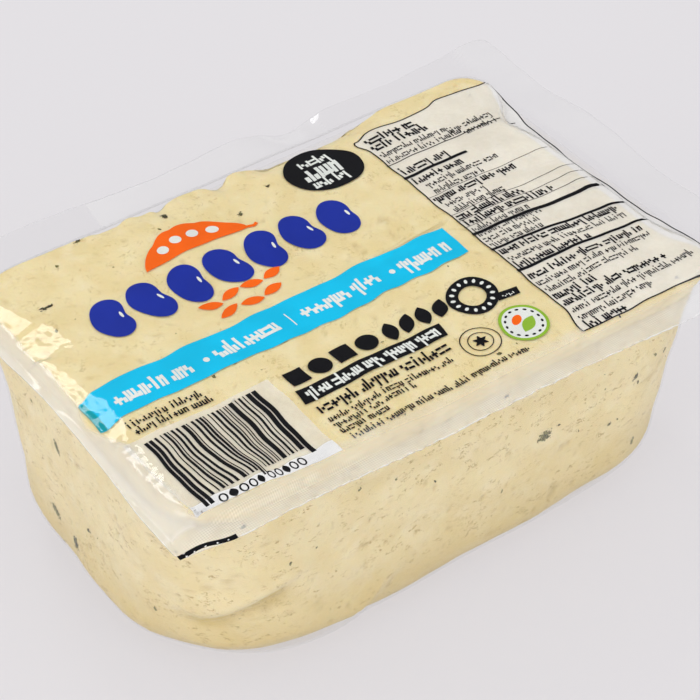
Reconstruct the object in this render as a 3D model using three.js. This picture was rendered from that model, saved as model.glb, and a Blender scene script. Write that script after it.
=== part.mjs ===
// Vacuum-packed block of herbed tofu, in millimetres, +Z up.
// Origin: on the flat underside, midway along the block and 0.4 mm in front of its
// middle across. +X runs along the block's length, the way the lid's print reads;
// +Y runs across it, towards the top of the print.
//
// Two solids make the pack:
//   filled_pocket  the deep clear pocket with the block of tofu that fills it
//   lid_film       the printed lid film, tight over the block, with its sealed flange

import * as THREE from 'three';

// ---- driving dimensions ----------------------------------------------------

const WALLS = { left: -60.6, right: 60.6, front: -38.9, back: 39.7 };
const LID_HEIGHT = 48.9;          // lid's upper face at the block's top edges
const DOME = 0.5;                 // how much higher the middle of the lid stands

const CORNER_TOP = 12.0;          // plan radius of the upright corners at the lid
const CORNER_BASE = 29.0;         // the same, where the walls turn into the base
const CORNER_GROWTH = 0.6;        // power of the depth by which the radius grows
const BASE_ROUND = 10.8;          // radius of the edge between wall and base
const WALL_DRAFT = 0.3;           // how far each wall leans in between flange and base

const SHEET = 0.8;                // lid film with the pocket's rim sealed to it
const CLEARANCE = 0.35;           // kept free between the lid and the pocket's solid
const SHOULDER_RUN = 2.0;         // plan width of the block's rounded top edge
const SHOULDER_DROP = 2.5;        // from the top edge down to the flange

const FLANGE = { left: -62.05, right: 69.0, front: -43.5, back: 46.0, corner: 2.5 };
const FRONT_SKEW = 0.034;         // the front trim line runs this much out of square
const LEFT_FLARE = 1.5;           // the left trim line runs out this much at both ends
const CORNER_CUT = 1.8;           // the trim turns in this much at the front left corner
const DRAW_IN = 3.7;              // the lid's right shoulder lies this far inside the wall
const NOTCH = 1.8;                // and this much further at the notch near its far end

// Waves of the lid and walls: heights in mm, the rest in radians for each mm.
const LID_LUMPS = { height: 0.18, x: 0.11, y: 0.13, slantX: 0.24, slantY: 0.17 };
const WALL_LUMPS = { height: 0.22, x: 0.19, y: 0.23, up: 0.31, slant: 0.17 };

// How far each side of the flange's free edge has curled, and how it waves along.
const CURL = {
  front: { mean: 0, wave: 0.25, pitch: 0.11 },
  right: { mean: 1.1, wave: 0.6, pitch: 0.16 },
  left: { mean: -0.6, wave: 0.7, pitch: 0.14 },
  back: { mean: 2.2, tuck: 3.8, tuckAt: 18, tuckWidth: 7, fall: 1.2 },
};

// The lips that the film draws in the walls: depth, and how far each swells. `round`
// is the distance in mm along the wall from the middle of the front left corner.
const UPPER_CREASE = { low: 17.0, middle: -2, blunt: 2, steep: 0.505, lean: 0.055, depth: 1.1, reach: 9 };
const LOWER_CREASE = { low: 8.5, rise: 2.5, width: 18, depth: 0.5, reach: 5 };
const FRONT_FOLD = { foot: -32.85, run: 1.09, square: 0.68, depth: 0.8, reach: 12 };
const LEFT_FOOT = { bulge: 0.7, height: 8, width: 5 };
const CREASE_HALF_WIDTH = 1.6;

// Points of one outline: steps along the long sides, the short sides and each corner.
const LONG_STEPS = 22;
const SHORT_STEPS = 12;
const CORNER_STEPS = 7;

// ---- small helpers ---------------------------------------------------------

const lerp = THREE.MathUtils.lerp;
const smoothstep = THREE.MathUtils.smoothstep;
const bell = (distance, width) => Math.exp(-((distance / width) ** 2));

// A rounded rectangle as a list of {x, y, nx, ny}, anticlockwise, with the outward
// normal of each point. Every outline has the same number of points, so that any two
// of them can be joined point by point.
function outline({ left, right, front, back, corner }) {
  const r = Math.max(0.5, Math.min(corner, (back - front) / 2 - 0.5));
  const corners = [
    { cx: right - r, cy: back - r, start: 0, steps: LONG_STEPS },
    { cx: left + r, cy: back - r, start: Math.PI / 2, steps: SHORT_STEPS },
    { cx: left + r, cy: front + r, start: Math.PI, steps: LONG_STEPS },
    { cx: right - r, cy: front + r, start: 1.5 * Math.PI, steps: SHORT_STEPS },
  ];
  const points = [];
  corners.forEach((here, index) => {
    for (let i = 0; i <= CORNER_STEPS; i++) {
      const angle = here.start + (i / CORNER_STEPS) * (Math.PI / 2);
      const nx = Math.cos(angle);
      const ny = Math.sin(angle);
      points.push({ x: here.cx + r * nx, y: here.cy + r * ny, nx, ny });
    }
    const next = corners[(index + 1) % corners.length];
    const from = points[points.length - 1];
    const to = { x: next.cx + r * from.nx, y: next.cy + r * from.ny };
    for (let i = 1; i < here.steps; i++) {
      const t = i / here.steps;
      points.push({ x: lerp(from.x, to.x, t), y: lerp(from.y, to.y, t), nx: from.nx, ny: from.ny });
    }
  });
  return points;
}

// The block's plan outline, a distance `inset` inside its walls.
function blockOutline(inset, corner) {
  return outline({
    left: WALLS.left + inset,
    right: WALLS.right - inset,
    front: WALLS.front + inset,
    back: WALLS.back - inset,
    corner,
  });
}

// Joins closed rings of Vector3, listed from the first cap to the last, into one
// closed body. Each face between two rings is split along its shorter diagonal, so
// that two bodies with matching faces stay clear of each other. Each end is closed by
// a fan round a point at the middle of its ring.
function loft(rings, firstCentre, lastCentre) {
  const count = rings[0].length;
  const positions = [];
  const faces = [];
  const points = rings.flat();
  points.forEach((p) => positions.push(p.x, p.y, p.z));
  positions.push(...firstCentre.toArray(), ...lastCentre.toArray());
  const first = rings.length * count;
  const last = first + 1;
  const lastRing = first - count;
  for (let j = 0; j < count; j++) {
    const k = (j + 1) % count;
    faces.push(first, k, j);
    for (let ring = 0; ring < lastRing; ring += count) {
      const [a, b, c, d] = [ring + j, ring + k, ring + count + k, ring + count + j];
      const along = points[a].distanceTo(points[c]) < points[b].distanceTo(points[d]);
      faces.push(...(along ? [a, b, c, a, c, d] : [a, b, d, b, c, d]));
    }
    faces.push(last, lastRing + j, lastRing + k);
  }
  const geometry = new THREE.BufferGeometry();
  geometry.setAttribute('position', new THREE.Float32BufferAttribute(positions, 3));
  geometry.setIndex(faces);
  geometry.computeVertexNormals();
  return geometry;
}

// ---- the lid's upper face --------------------------------------------------

// Height of the lid over the block: a slight dome with the lumps of the pressed curd.
function topHeight(x, y) {
  const dome = (1 - (x / WALLS.right) ** 2) * (1 - (y / WALLS.back) ** 2);
  const broad = Math.sin(LID_LUMPS.x * x + 0.6) * Math.cos(LID_LUMPS.y * y - 0.4);
  const slanting = 0.5 * Math.sin(LID_LUMPS.slantX * x - LID_LUMPS.slantY * y);
  return LID_HEIGHT + DOME * dome + LID_LUMPS.height * (broad + slanting);
}

// How far the film has drawn the right shoulder in: along the side, but not at corners.
function drawIn(x, y) {
  const along = smoothstep(y, -34, -18) * (1 - smoothstep(y, 20, 33));
  return smoothstep(x, 40, 52) * (DRAW_IN * along + NOTCH * bell(y - 21, 5));
}

// Height at the distance `inset` inside the wall: flat top, then an S-shaped shoulder.
function lidHeight(x, y, inset) {
  const drawn = Math.max(0, inset - drawIn(x, y));
  const rise = Math.sin((Math.PI / 2) * smoothstep(drawn, -0.8, SHOULDER_RUN));
  return topHeight(x, y) - SHOULDER_DROP * (1 - rise);
}

// How far the free edge of the flange has curled up (+) or down (-) at a point.
function flangeCurl(x, y) {
  const curl = ({ mean, wave, pitch }, along) => mean + wave * Math.sin(pitch * along);
  const front = curl(CURL.front, x);
  const right = curl(CURL.right, y);
  const left = curl(CURL.left, y + 7);
  const tuck = CURL.back.tuck * bell(x - CURL.back.tuckAt, CURL.back.tuckWidth);
  const back = CURL.back.mean - tuck - CURL.back.fall * smoothstep(x, 10, 40);
  const backShare = smoothstep(y, 25, 42);
  const rightShare = smoothstep(x, 50, 64);
  const leftShare = smoothstep(-x, 50, 61);
  const side = lerp(lerp(front, right, rightShare), left, leftShare);
  return lerp(side, back, backShare * (1 - 0.5 * rightShare));
}

// The trimmed edge of the flange: a rectangle whose sides wander a little.
function trimmedEdge() {
  return outline(FLANGE).map((p) => {
    const left = -LEFT_FLARE * smoothstep(Math.abs(p.y - 4), 16, 36) * Math.max(0, -p.nx);
    const turnedIn = CORNER_CUT * smoothstep(-p.x, 52, 63) - FRONT_SKEW * p.x;
    const front = turnedIn * smoothstep(-p.y, 28, 42);
    const back = 0.5 * Math.sin(0.12 * p.x) * Math.max(0, p.ny);
    return { ...p, x: p.x + left, y: p.y + front + back };
  });
}

// ---- the block's walls -----------------------------------------------------

// The film draws the curd into a lip: the wall stands proud on one side of a line and
// steps back on the other. `across` is the distance from the line, positive on the
// proud side, which swells over `reach`.
function lip(across, { depth, reach }) {
  const step = smoothstep(across, -CREASE_HALF_WIDTH, CREASE_HALF_WIDTH);
  const proud = step * Math.exp(-Math.max(across, 0) / reach);
  const sunk = (1 - step) * Math.exp(Math.min(across, 0) / (0.5 * reach));
  return depth * (proud - 0.6 * sunk);
}

// Height of the upper crease: a lopsided V round the corner, lowest at its middle.
function upperCrease(round) {
  const past = round - UPPER_CREASE.middle;
  const arms = UPPER_CREASE.steep * (Math.hypot(past, UPPER_CREASE.blunt) - UPPER_CREASE.blunt);
  return UPPER_CREASE.low + arms + UPPER_CREASE.lean * past;
}

// Height of the lower crease, which rises away from the corner to both sides.
function lowerCrease(round) {
  return LOWER_CREASE.low + LOWER_CREASE.rise * (1 - bell(round, LOWER_CREASE.width));
}

// How far the wall stands out at a point: lips round the front left corner, one
// slanting across the front, a bulge at the left foot and the lumps of the curd.
function wallRelief({ x, y, nx, ny }, z) {
  const round = (x - y + 22) / 1.3;
  const turning = smoothstep(-nx - ny, 0.5, 1.1);
  const corner = turning * smoothstep(round, -10, -1) * (1 - smoothstep(round, 12, 26));
  const lips = lip(z - upperCrease(round), UPPER_CREASE) + lip(z - lowerCrease(round), LOWER_CREASE);

  const foldX = FRONT_FOLD.foot + FRONT_FOLD.run * z;
  const front = Math.max(0, -ny) ** 4 * smoothstep(-z, -27, -21) * smoothstep(z, 1, 4);
  const fold = front * lip(FRONT_FOLD.square * (foldX - x), FRONT_FOLD);

  const foot = Math.max(0, -nx) * smoothstep(-round, 8, 14) * (1 - smoothstep(-round, 27, 34));
  const bulge = LEFT_FOOT.bulge * foot * bell(z - LEFT_FOOT.height, LEFT_FOOT.width);

  const { height, up, slant } = WALL_LUMPS;
  const lumps = height * Math.sin(WALL_LUMPS.x * x + up * z) * Math.cos(WALL_LUMPS.y * y - slant * z);
  const fade = smoothstep(LID_HEIGHT - z, 4, 9) * smoothstep(z, 0.5, 4);
  return fade * (corner * lips + fold + bulge + lumps);
}

// Plan radius of the corners and lean of the walls at height z.
function wallRing(z, extraInset) {
  const down = THREE.MathUtils.clamp(1 - z / LID_HEIGHT, 0, 1);
  const corner = lerp(CORNER_TOP, CORNER_BASE, down ** CORNER_GROWTH) - 0.3 * extraInset;
  return blockOutline(WALL_DRAFT * down + extraInset, corner).map((p) => {
    const out = wallRelief(p, z);
    return new THREE.Vector3(p.x + out * p.nx, p.y + out * p.ny, z);
  });
}

// ---- the two solids --------------------------------------------------------

// Distances inside the wall at which the top is measured, from the wall to the middle.
const TOP_INSETS = [0, 0.7, 1.4, 2.2, 3.6, 4.6, 5.6, 7, 12, 20, 30];

function topRing(inset, drop) {
  return blockOutline(inset, CORNER_TOP - inset * 0.5).map(
    (p) => new THREE.Vector3(p.x, p.y, lidHeight(p.x, p.y, inset) - drop),
  );
}

function filledPocket() {
  const rings = [wallRing(0, BASE_ROUND + 14), wallRing(0, BASE_ROUND + 2)];
  const turnSteps = 5;
  for (let i = 0; i <= turnSteps; i++) {
    const angle = (i / turnSteps) * (Math.PI / 2);
    rings.push(wallRing(BASE_ROUND * (1 - Math.cos(angle)), BASE_ROUND * (1 - Math.sin(angle))));
  }
  for (const z of [13.5, 16.5, 19, 20.5, 22, 23.5, 26, 30, 35, 40, 43.5]) {
    rings.push(wallRing(z, 0));
  }
  const drop = SHEET + CLEARANCE;
  for (const inset of TOP_INSETS) rings.push(topRing(inset, drop));
  return loft(rings, new THREE.Vector3(0, 0, 0), new THREE.Vector3(0, 0, topHeight(0, 0) - drop));
}

function lidFilm() {
  const wall = topRing(0, 0);
  const edge = trimmedEdge();
  const flange = [0.3, 0.65, 1].map((share) => wall.map((p, j) => {
    const x = lerp(p.x, edge[j].x, share);
    const y = lerp(p.y, edge[j].y, share);
    return new THREE.Vector3(x, y, p.z + flangeCurl(x, y) * share ** 1.5);
  }));
  const upper = [...[...TOP_INSETS].reverse().map((inset) => topRing(inset, 0)), ...flange];
  const lower = upper.map((ring) => ring.map((p) => new THREE.Vector3(p.x, p.y, p.z - SHEET)));
  const middle = new THREE.Vector3(0, 0, topHeight(0, 0));
  const underneath = new THREE.Vector3(0, 0, middle.z - SHEET);
  return loft([...lower, ...upper.reverse()], underneath, middle);
}

// ---- the pack --------------------------------------------------------------

const curdInFilm = new THREE.MeshStandardMaterial({ color: 0xe3d6a8, roughness: 0.35, metalness: 0 });
const lidPrint = new THREE.MeshStandardMaterial({ color: 0xece6cf, roughness: 0.2, metalness: 0 });

function piece(name, geometry, material) {
  const mesh = new THREE.Mesh(geometry, material);
  mesh.name = name;
  return mesh;
}

const pack = new THREE.Group();
pack.add(piece('filled_pocket', filledPocket(), curdInFilm));
pack.add(piece('lid_film', lidFilm(), lidPrint));

export default pack;
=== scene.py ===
"""Looks of the vacuum-packed block of herbed tofu.

The pack is built from four sub-assemblies: the curd with its herb flecks, the clear
pocket round it, the sealed lid film, and the print under that film. All of them take
their shape from one PackForm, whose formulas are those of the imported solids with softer
folds and finer waves.

Lengths and places are millimetres until a mesh is written, where MM makes them metres.
"""

from __future__ import annotations

import itertools  # noqa: E402
import logging  # noqa: E402
import math  # noqa: E402
from dataclasses import dataclass, field  # noqa: E402
from enum import Enum, IntEnum  # noqa: E402
from typing import Any, Iterable, Sequence  # noqa: E402

import bpy  # noqa: E402
import numpy as np  # noqa: E402
from mathutils import Matrix, Vector  # noqa: E402
from mathutils.bvhtree import BVHTree  # noqa: E402


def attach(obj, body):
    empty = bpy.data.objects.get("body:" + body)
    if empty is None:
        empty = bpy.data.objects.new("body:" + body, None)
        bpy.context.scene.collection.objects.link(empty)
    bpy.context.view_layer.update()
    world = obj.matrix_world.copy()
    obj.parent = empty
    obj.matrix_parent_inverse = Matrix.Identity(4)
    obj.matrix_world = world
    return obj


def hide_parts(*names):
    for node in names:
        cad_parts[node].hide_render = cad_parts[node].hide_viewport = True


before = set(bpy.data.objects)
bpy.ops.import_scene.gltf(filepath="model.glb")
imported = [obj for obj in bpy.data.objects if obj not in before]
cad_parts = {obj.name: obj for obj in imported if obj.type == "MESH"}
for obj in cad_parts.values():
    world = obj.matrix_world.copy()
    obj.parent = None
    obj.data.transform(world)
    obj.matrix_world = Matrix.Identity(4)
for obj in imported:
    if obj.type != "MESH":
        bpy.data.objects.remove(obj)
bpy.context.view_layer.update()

log = logging.getLogger("tofu_pack")

Array = np.ndarray
Material = bpy.types.Material
Node = bpy.types.Node
Object = bpy.types.Object
Socket = bpy.types.NodeSocket
Colour = tuple[float, float, float]
Place = tuple[float, float]

MM = 0.001
POCKET_NODE = "filled_pocket"
LID_NODE = "lid_film"
BODY = "root"

# Odd factors and shifts that mix a lattice point's three whole numbers into one word.
AXIS_FACTORS = (73856093, 19349663, 83492791)
SEED_FACTOR = 2654435761
MIX_ROUNDS = ((16, 0x45D9F3B), (15, 0x2C1B3C6D), (16, 0x297A2D39))
WORD = 0xFFFFFFFF
HALF_WORD = 2.0**31


class Seed(IntEnum):
    """The noises by what they shape, each on a lattice of its own."""

    LID_WAVES = 11
    LEFT_SHIMMER = 12
    FACET_EDGE = 13
    FACET_RAGS = 14
    TRIM_TEETH = 21
    TRIM_WANDER = 22
    CRAGS = 31
    CURD_EDGE = 33
    PITS = 41
    FLECK_LENGTH = 51
    FLECK_WIDTH = 52
    POCKET_WAVES = 61
    CRIMP = 71
    FINE_CRIMP = 72
    WHITE_CUT = 73


# ---- arithmetic on whole arrays ---------------------------------------------------


def smoothstep(value: Array | float, low: float, high: float) -> Array:
    """Cubic step from 0 at low to 1 at high.

    Args:
        value: Where the step is read.
        low: Value at and below which the step is 0.
        high: Value at and above which the step is 1.

    Returns:
        t * t * (3 - 2 t), with t the share of the way from low to high.
    """
    t = np.clip((value - low) / (high - low), 0.0, 1.0)
    return t * t * (3.0 - 2.0 * t)


def lerp(a: Array | float, b: Array | float, share: Array | float) -> Array:
    """Straight blend from a at share 0 to b at share 1."""
    return a + (b - a) * share


def bell(distance: Array | float, width: float) -> Array:
    """Bell curve exp(-(distance / width) squared)."""
    return np.exp(-((distance / width) ** 2))


def lattice_values(cells: Array, seed: int) -> Array:
    """Random value of each whole-numbered lattice point.

    Args:
        cells: Integer lattice coordinates, with three in the last axis.
        seed: Chooses one of many lattices.

    Returns:
        Values spread evenly from -1 to 1, the same for the same point and seed.
    """
    a, b, c = (cells[..., axis] * factor for axis, factor in enumerate(AXIS_FACTORS))
    mixed = (a ^ b ^ c ^ (seed * SEED_FACTOR)) & WORD
    for shift, factor in MIX_ROUNDS:
        mixed = ((mixed ^ (mixed >> shift)) * factor) & WORD
    return mixed / HALF_WORD - 1.0


def lattice_noise(points: Array, cell: float, seed: int) -> Array:
    """Smooth noise: random lattice values blended by a quintic fade.

    Args:
        points: Coordinates, with three in the last axis.
        cell: Size of one lattice cell, which is about half a lump's width.
        seed: Chooses one of many noises.

    Returns:
        Values from -1 to 1, one for each point.
    """
    scaled = points / cell
    base = np.floor(scaled).astype(np.int64)
    part = scaled - base
    fade = part**3 * (part * (6.0 * part - 15.0) + 10.0)
    total = np.zeros(points.shape[:-1])
    for corner in itertools.product((0, 1), repeat=3):
        weight = np.prod(np.where(corner, fade, 1.0 - fade), axis=-1)
        total += weight * lattice_values(base + np.array(corner), seed)
    return total


def fractal_noise(points: Array, cell: float, octaves: int, seed: int) -> Array:
    """Sum of octaves of noise, each with half the cell and half the height.

    Args:
        points: Coordinates, with three in the last axis.
        cell: Lattice cell of the first octave.
        octaves: How many octaves are added.
        seed: Chooses one of many noises.

    Returns:
        Values mostly from -1 to 1.
    """
    layers = [0.5**k * lattice_noise(points, cell * 0.5**k, seed + k) for k in range(octaves)]
    return sum(layers) / sum(0.5**k for k in range(octaves))


def in_plan(x: Array, y: Array) -> Array:
    """Points at height 0 over places in plan, where noises over the plan are read."""
    return np.stack([x, y, np.zeros_like(x)], -1)


def disc_grid(count: int) -> tuple[Array, Array]:
    """A square grid drawn into a disc: (u root(1 - v v / 2), v root(1 - u u / 2))."""
    u, v = np.meshgrid(np.linspace(-1, 1, count), np.linspace(-1, 1, count))
    return u * np.sqrt(1 - v * v / 2), v * np.sqrt(1 - u * u / 2)


def grid_normals(points: Array) -> Array:
    """Unit normals of a grid of rings, from the cross product of its two differences.

    Args:
        points: Grid of shape (rings, points, 3), where each ring closes on itself.

    Returns:
        Normals that point to the right of the way from the first ring to the last, as
        seen along the ring, which is outwards on rings stacked upwards anticlockwise.
    """
    along = np.roll(points, -1, axis=1) - np.roll(points, 1, axis=1)
    across = np.gradient(points, axis=0)
    normal = np.cross(along, across)
    return normal / np.maximum(np.linalg.norm(normal, axis=-1, keepdims=True), 1e-9)


# ---- the form of the pack ------------------------------------------------------------


@dataclass(frozen=True)
class Steps:
    """Points of an outline along the long sides, the short sides and each corner."""

    long: int
    short: int
    corner: int


@dataclass(frozen=True)
class Rectangle:
    """A rounded rectangle in plan, by its four sides and its corner radius.

    The radius of the back right corner is less than the others by tight.
    """

    left: float
    right: float
    front: float
    back: float
    corner: float
    tight: float = 0.0

    LEAST_RADIUS = 0.5

    def outline(self, steps: Steps) -> Array:
        """Points of the outline with their outward normals.

        Each corner is an arc about its own centre, and a straight run leads on to the
        next corner.

        Args:
            steps: How finely the outline is divided.

        Returns:
            Array of shape (points, 4) that holds x, y, nx, ny, anticlockwise from the
            right end of the back right corner.
        """
        least = self.LEAST_RADIUS
        r = max(least, min(self.corner, (self.back - self.front) / 2 - least))
        radii = (max(least, r - self.tight), r, r, r)
        xs = (self.right - radii[0], self.left + r, self.left + r, self.right - r)
        ys = (self.back - radii[0], self.back - r, self.front + r, self.front + r)
        runs = (steps.long, steps.short, steps.long, steps.short)
        parts = []
        for index, run in enumerate(runs):
            angle = (index + np.linspace(0.0, 1.0, steps.corner + 1)) * math.pi / 2
            nx, ny = np.cos(angle), np.sin(angle)
            arc = [xs[index] + radii[index] * nx, ys[index] + radii[index] * ny, nx, ny]
            parts.append(np.stack(arc, -1))
            share = np.arange(1, run)[:, None] / run
            after = (index + 1) % 4
            start = parts[-1][-1]
            reach = radii[after] * start[2:]
            end = np.array([xs[after] + reach[0], ys[after] + reach[1], *start[2:]])
            parts.append(start + (end - start) * share)
        return np.concatenate(parts)

    def inset_at(self, x: Array, y: Array) -> Array:
        """How far points lie inside the outline: positive inside, negative outside."""
        half_x, half_y = (self.right - self.left) / 2, (self.back - self.front) / 2
        from_x = x - (self.left + self.right) / 2
        from_y = y - (self.front + self.back) / 2
        corner = self.corner - self.tight * ((from_x > 0) & (from_y > 0))
        qx, qy = np.abs(from_x) - half_x + corner, np.abs(from_y) - half_y + corner
        outside = np.hypot(np.maximum(qx, 0.0), np.maximum(qy, 0.0))
        return corner - outside - np.minimum(np.maximum(qx, qy), 0.0)


@dataclass(frozen=True)
class PackForm:
    """Driving dimensions of the pack and the formulas that every piece is shaped by.

    A lip is given by its height and its reach.
    """

    walls: Rectangle = Rectangle(-60.6, 60.6, -38.9, 39.7, 12.0, 4.2)
    flange: Rectangle = Rectangle(-62.05, 69.0, -43.5, 46.0, 2.5)
    lid_height: float = 48.9
    dome: float = 0.5
    lump_height: float = 0.18
    middle_inset: float = 37.0
    corner_base: float = 29.0
    corner_growth: float = 0.6
    corner_tighten: float = 0.3
    base_round: float = 10.8
    base_steps: int = 14
    wall_draft: float = 0.3
    shoulder_run: float = 2.0
    shoulder_lead: float = 0.8
    shoulder_drop: float = 2.5
    front_skew: float = 0.034
    left_flare: float = 1.5
    corner_cut: float = 1.8
    drawn_in: float = 3.7
    notch: float = 1.8
    seal_front: float = -38.6
    seal_slant: float = 3.4
    crimp_height: float = 0.2
    upper_crease: float = 17.0
    lower_crease: float = 8.5
    upper_lip: tuple[float, float] = (1.1, 9.0)
    lower_lip: tuple[float, float] = (0.5, 5.0)
    fold_lip: tuple[float, float] = (0.8, 12.0)
    fold_foot: float = -32.85
    fold_slope: float = 1.09
    foot_bulge: float = 0.7
    wall_lump: float = 0.22
    facet_slope: float = 0.123
    facet_foot: float = -58.7
    facet_edge: tuple[tuple[float, float], ...] = (
        (-31.5, -59.5), (-29.5, -57.2), (-27.0, -56.2), (-24.8, -57.0), (-23.6, -55.6),
        (-15.5, -56.0), (-14.4, -58.2), (-13.3, -57.4), (-11.9, -55.4), (-7.4, -54.8),
        (-3.0, -55.0), (0.8, -56.1), (3.8, -56.8), (7.9, -56.2), (11.4, -57.6), (12.5, -57.0),
        (13.0, -51.4), (20.6, -51.8), (21.6, -53.7), (24.0, -55.0), (29.5, -56.8),
        (33.0, -57.5), (36.0, -60.0))

    def block_ring(self, inset: float, corner: float, steps: Steps, down: float = 0.0) -> Array:
        """Outline of the block's plan, inset inside its walls and a share of the way down."""
        w = self.walls
        sides = (w.left + inset, w.right - inset, w.front + inset, w.back - inset)
        return Rectangle(*sides, corner, w.tight * (1 - down)).outline(steps)

    def lid_ring(self, inset: float, steps: Steps) -> Array:
        """Plan places of a ring of the lid, whose corners tighten by half its inset."""
        return self.block_ring(inset, self.walls.corner - 0.5 * inset, steps)[:, :2]

    def top_height(self, x: Array, y: Array) -> Array:
        """Height of the lid over the block: a slight dome with the curd's lumps."""
        dome = (1 - (x / self.walls.right) ** 2) * (1 - (y / self.walls.back) ** 2)
        lumps = np.sin(0.11 * x + 0.6) * np.cos(0.13 * y - 0.4)
        lumps = lumps + 0.5 * np.sin(0.24 * x - 0.17 * y)
        return self.lid_height + self.dome * dome + self.lump_height * lumps

    def ripple(self, x: Array, y: Array) -> Array:
        """Small waves of the tight film and the facets where it slopes to the left edge.

        A facet falls evenly, by its slope, from a ragged line of places (y, x) down to
        the edge of the block, and is gone on the flange. It stops short where the ribbon
        turns down.

        Args:
            x: Places along the block.
            y: Places across it.

        Returns:
            Height to add.
        """
        plan = in_plan(x, y)
        near_left = 1 - smoothstep(x - self.walls.left, 2.0, 12.0)
        waves = 0.06 * fractal_noise(plan, 7.0, 2, Seed.LID_WAVES)
        waves = waves + 0.02 * near_left * lattice_noise(plan, 2.6, Seed.LEFT_SHIMMER)
        at_y, at_x = np.array(self.facet_edge).T
        ragged_y = y + 0.9 * lattice_noise(plan, 1.5, Seed.FACET_RAGS)
        edge = np.interp(ragged_y, at_y, at_x) + 0.6 * lattice_noise(plan, 1.2, Seed.FACET_EDGE)
        foot = self.facet_foot + 1.3 * bell(y + 5, 3.8)
        run = np.clip(edge - x, 0.0, np.maximum(edge - foot, 0.0))
        on_block = 1 - smoothstep(-x, 59.2, 60.9)
        return waves - self.facet_slope * run * on_block

    def draw_in(self, x: Array, y: Array) -> Array:
        """How far the film has drawn the right shoulder in, along the side between corners."""
        along = smoothstep(y, -34, -18) * (1 - smoothstep(y, 20, 33))
        return smoothstep(x, 40, 52) * (self.drawn_in * along + self.notch * bell(y - 21, 5))

    def seal_line(self, x: Array) -> Array:
        """Where the sealed band begins in front: it runs at a slant to the wall."""
        return self.seal_front + self.seal_slant * smoothstep(-x, 5, 58)

    def flange_curl(self, x: Array, y: Array) -> Array:
        """How far the flange's free edge has curled up, less a sag at the near corner."""
        back = 2.2 - 3.8 * bell(x - 18, 7) - 1.2 * smoothstep(x, 10, 40)
        right = 1.1 + 0.6 * np.sin(0.16 * y)
        left = -0.6 + 0.7 * np.sin(0.14 * (y + 7))
        front = 0.25 * np.sin(0.11 * x)
        back_share, right_share = smoothstep(y, 25, 42), smoothstep(x, 50, 64)
        side = lerp(lerp(front, right, right_share), left, smoothstep(-x, 50, 61))
        sag = 0.5 * smoothstep(-x, 52, 61) * smoothstep(-y, -6, 14)
        sag = sag + 0.8 * smoothstep(-x, 42, 56) * smoothstep(-y, 28, 38)
        return lerp(side, back, back_share * (1 - 0.5 * right_share)) - sag

    def front_trim(self, x: Array) -> Array:
        """Where the front trim line runs: at a skew, turned in at the left and to the right."""
        turned_in = self.corner_cut * smoothstep(-x, 52, 63)
        turned_in = turned_in + 0.45 * smoothstep(x, -50, -40) + 0.35 * smoothstep(x, 0, 30)
        return self.flange.front - self.front_skew * x + turned_in

    def trimmed_edge(self, steps: Steps) -> Array:
        """The flange's free edge: a rectangle whose sides wander, with fine teeth in front."""
        x, y, nx, ny = self.flange.outline(steps).T
        facing_left, facing_back = np.maximum([-nx, ny], 0)
        plan = in_plan(x, y)
        teeth = 0.17 * lattice_noise(plan, 0.9, Seed.TRIM_TEETH)
        teeth = teeth + 0.1 * lattice_noise(plan, 3.2, Seed.TRIM_WANDER)
        moved_x = x - self.left_flare * smoothstep(np.abs(y - 4), 16, 36) * facing_left
        in_front = smoothstep(-y, 28, 42)
        moved_y = y + (self.front_trim(x) - self.flange.front + teeth) * in_front
        return np.stack([moved_x, moved_y + 0.5 * np.sin(0.12 * x) * facing_back, nx, ny], -1)

    def lid_surface(self, x: Array, y: Array) -> Array:
        """Height of the lid film's upper face anywhere in plan.

        Over the block it is the top height less an S-shaped shoulder near the walls,
        which lies further in where the film is drawn in.
        Outside the walls it goes on at the shoulder's height there, plus the curl and a
        crimp of noise times the share of the way to the free edge, to the power 1.5.

        Args:
            x: Places along the block.
            y: Places across it.

        Returns:
            Heights above the underside.
        """
        inset = self.walls.inset_at(x, y)
        within = np.maximum(inset - self.draw_in(x, y), 0)
        rise = np.sin(np.pi / 2 * smoothstep(within, -self.shoulder_lead, self.shoulder_run))
        height = self.top_height(x, y) - self.shoulder_drop * (1 - rise)
        beyond = np.maximum(-inset, 0)
        to_edge = np.maximum(self.flange.inset_at(x, y), 0)
        share = beyond / np.maximum(beyond + to_edge, 1e-6)
        plan = in_plan(x, y)
        crimp = self.crimp_height * lattice_noise(plan, 4.5, Seed.CRIMP)
        crimp = crimp + 0.06 * lattice_noise(plan, 1.8, Seed.FINE_CRIMP)
        return height + (self.flange_curl(x, y) + crimp) * share**1.5 + self.ripple(x, y)

    def middle_height(self) -> float:
        """Height of the lid film's upper face at the middle of the pack."""
        return self.lid_surface(np.zeros(1), np.zeros(1))[0]

    @staticmethod
    def lip(across: Array, depth: float, reach: float) -> Array:
        """A lip: proud on the positive side of a line and sunk on the other."""
        step = smoothstep(across, -1.6, 1.6)
        proud = step * np.exp(-np.maximum(across, 0) / reach)
        sunk = (1 - step) * np.exp(np.minimum(across, 0) / (0.5 * reach))
        return depth * (proud - 0.6 * sunk)

    def round_corner(self, x: Array, y: Array) -> Array:
        """Distance walked round the front left corner, from its middle towards the front."""
        return (x - y + 22) / 1.3

    def crease_height(self, round_by: Array) -> Array:
        """Height of the upper crease: a lopsided V round the corner, lowest at its middle."""
        past = round_by + 2
        return self.upper_crease + 0.505 * (np.hypot(past, 2) - 2) + 0.055 * past

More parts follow.
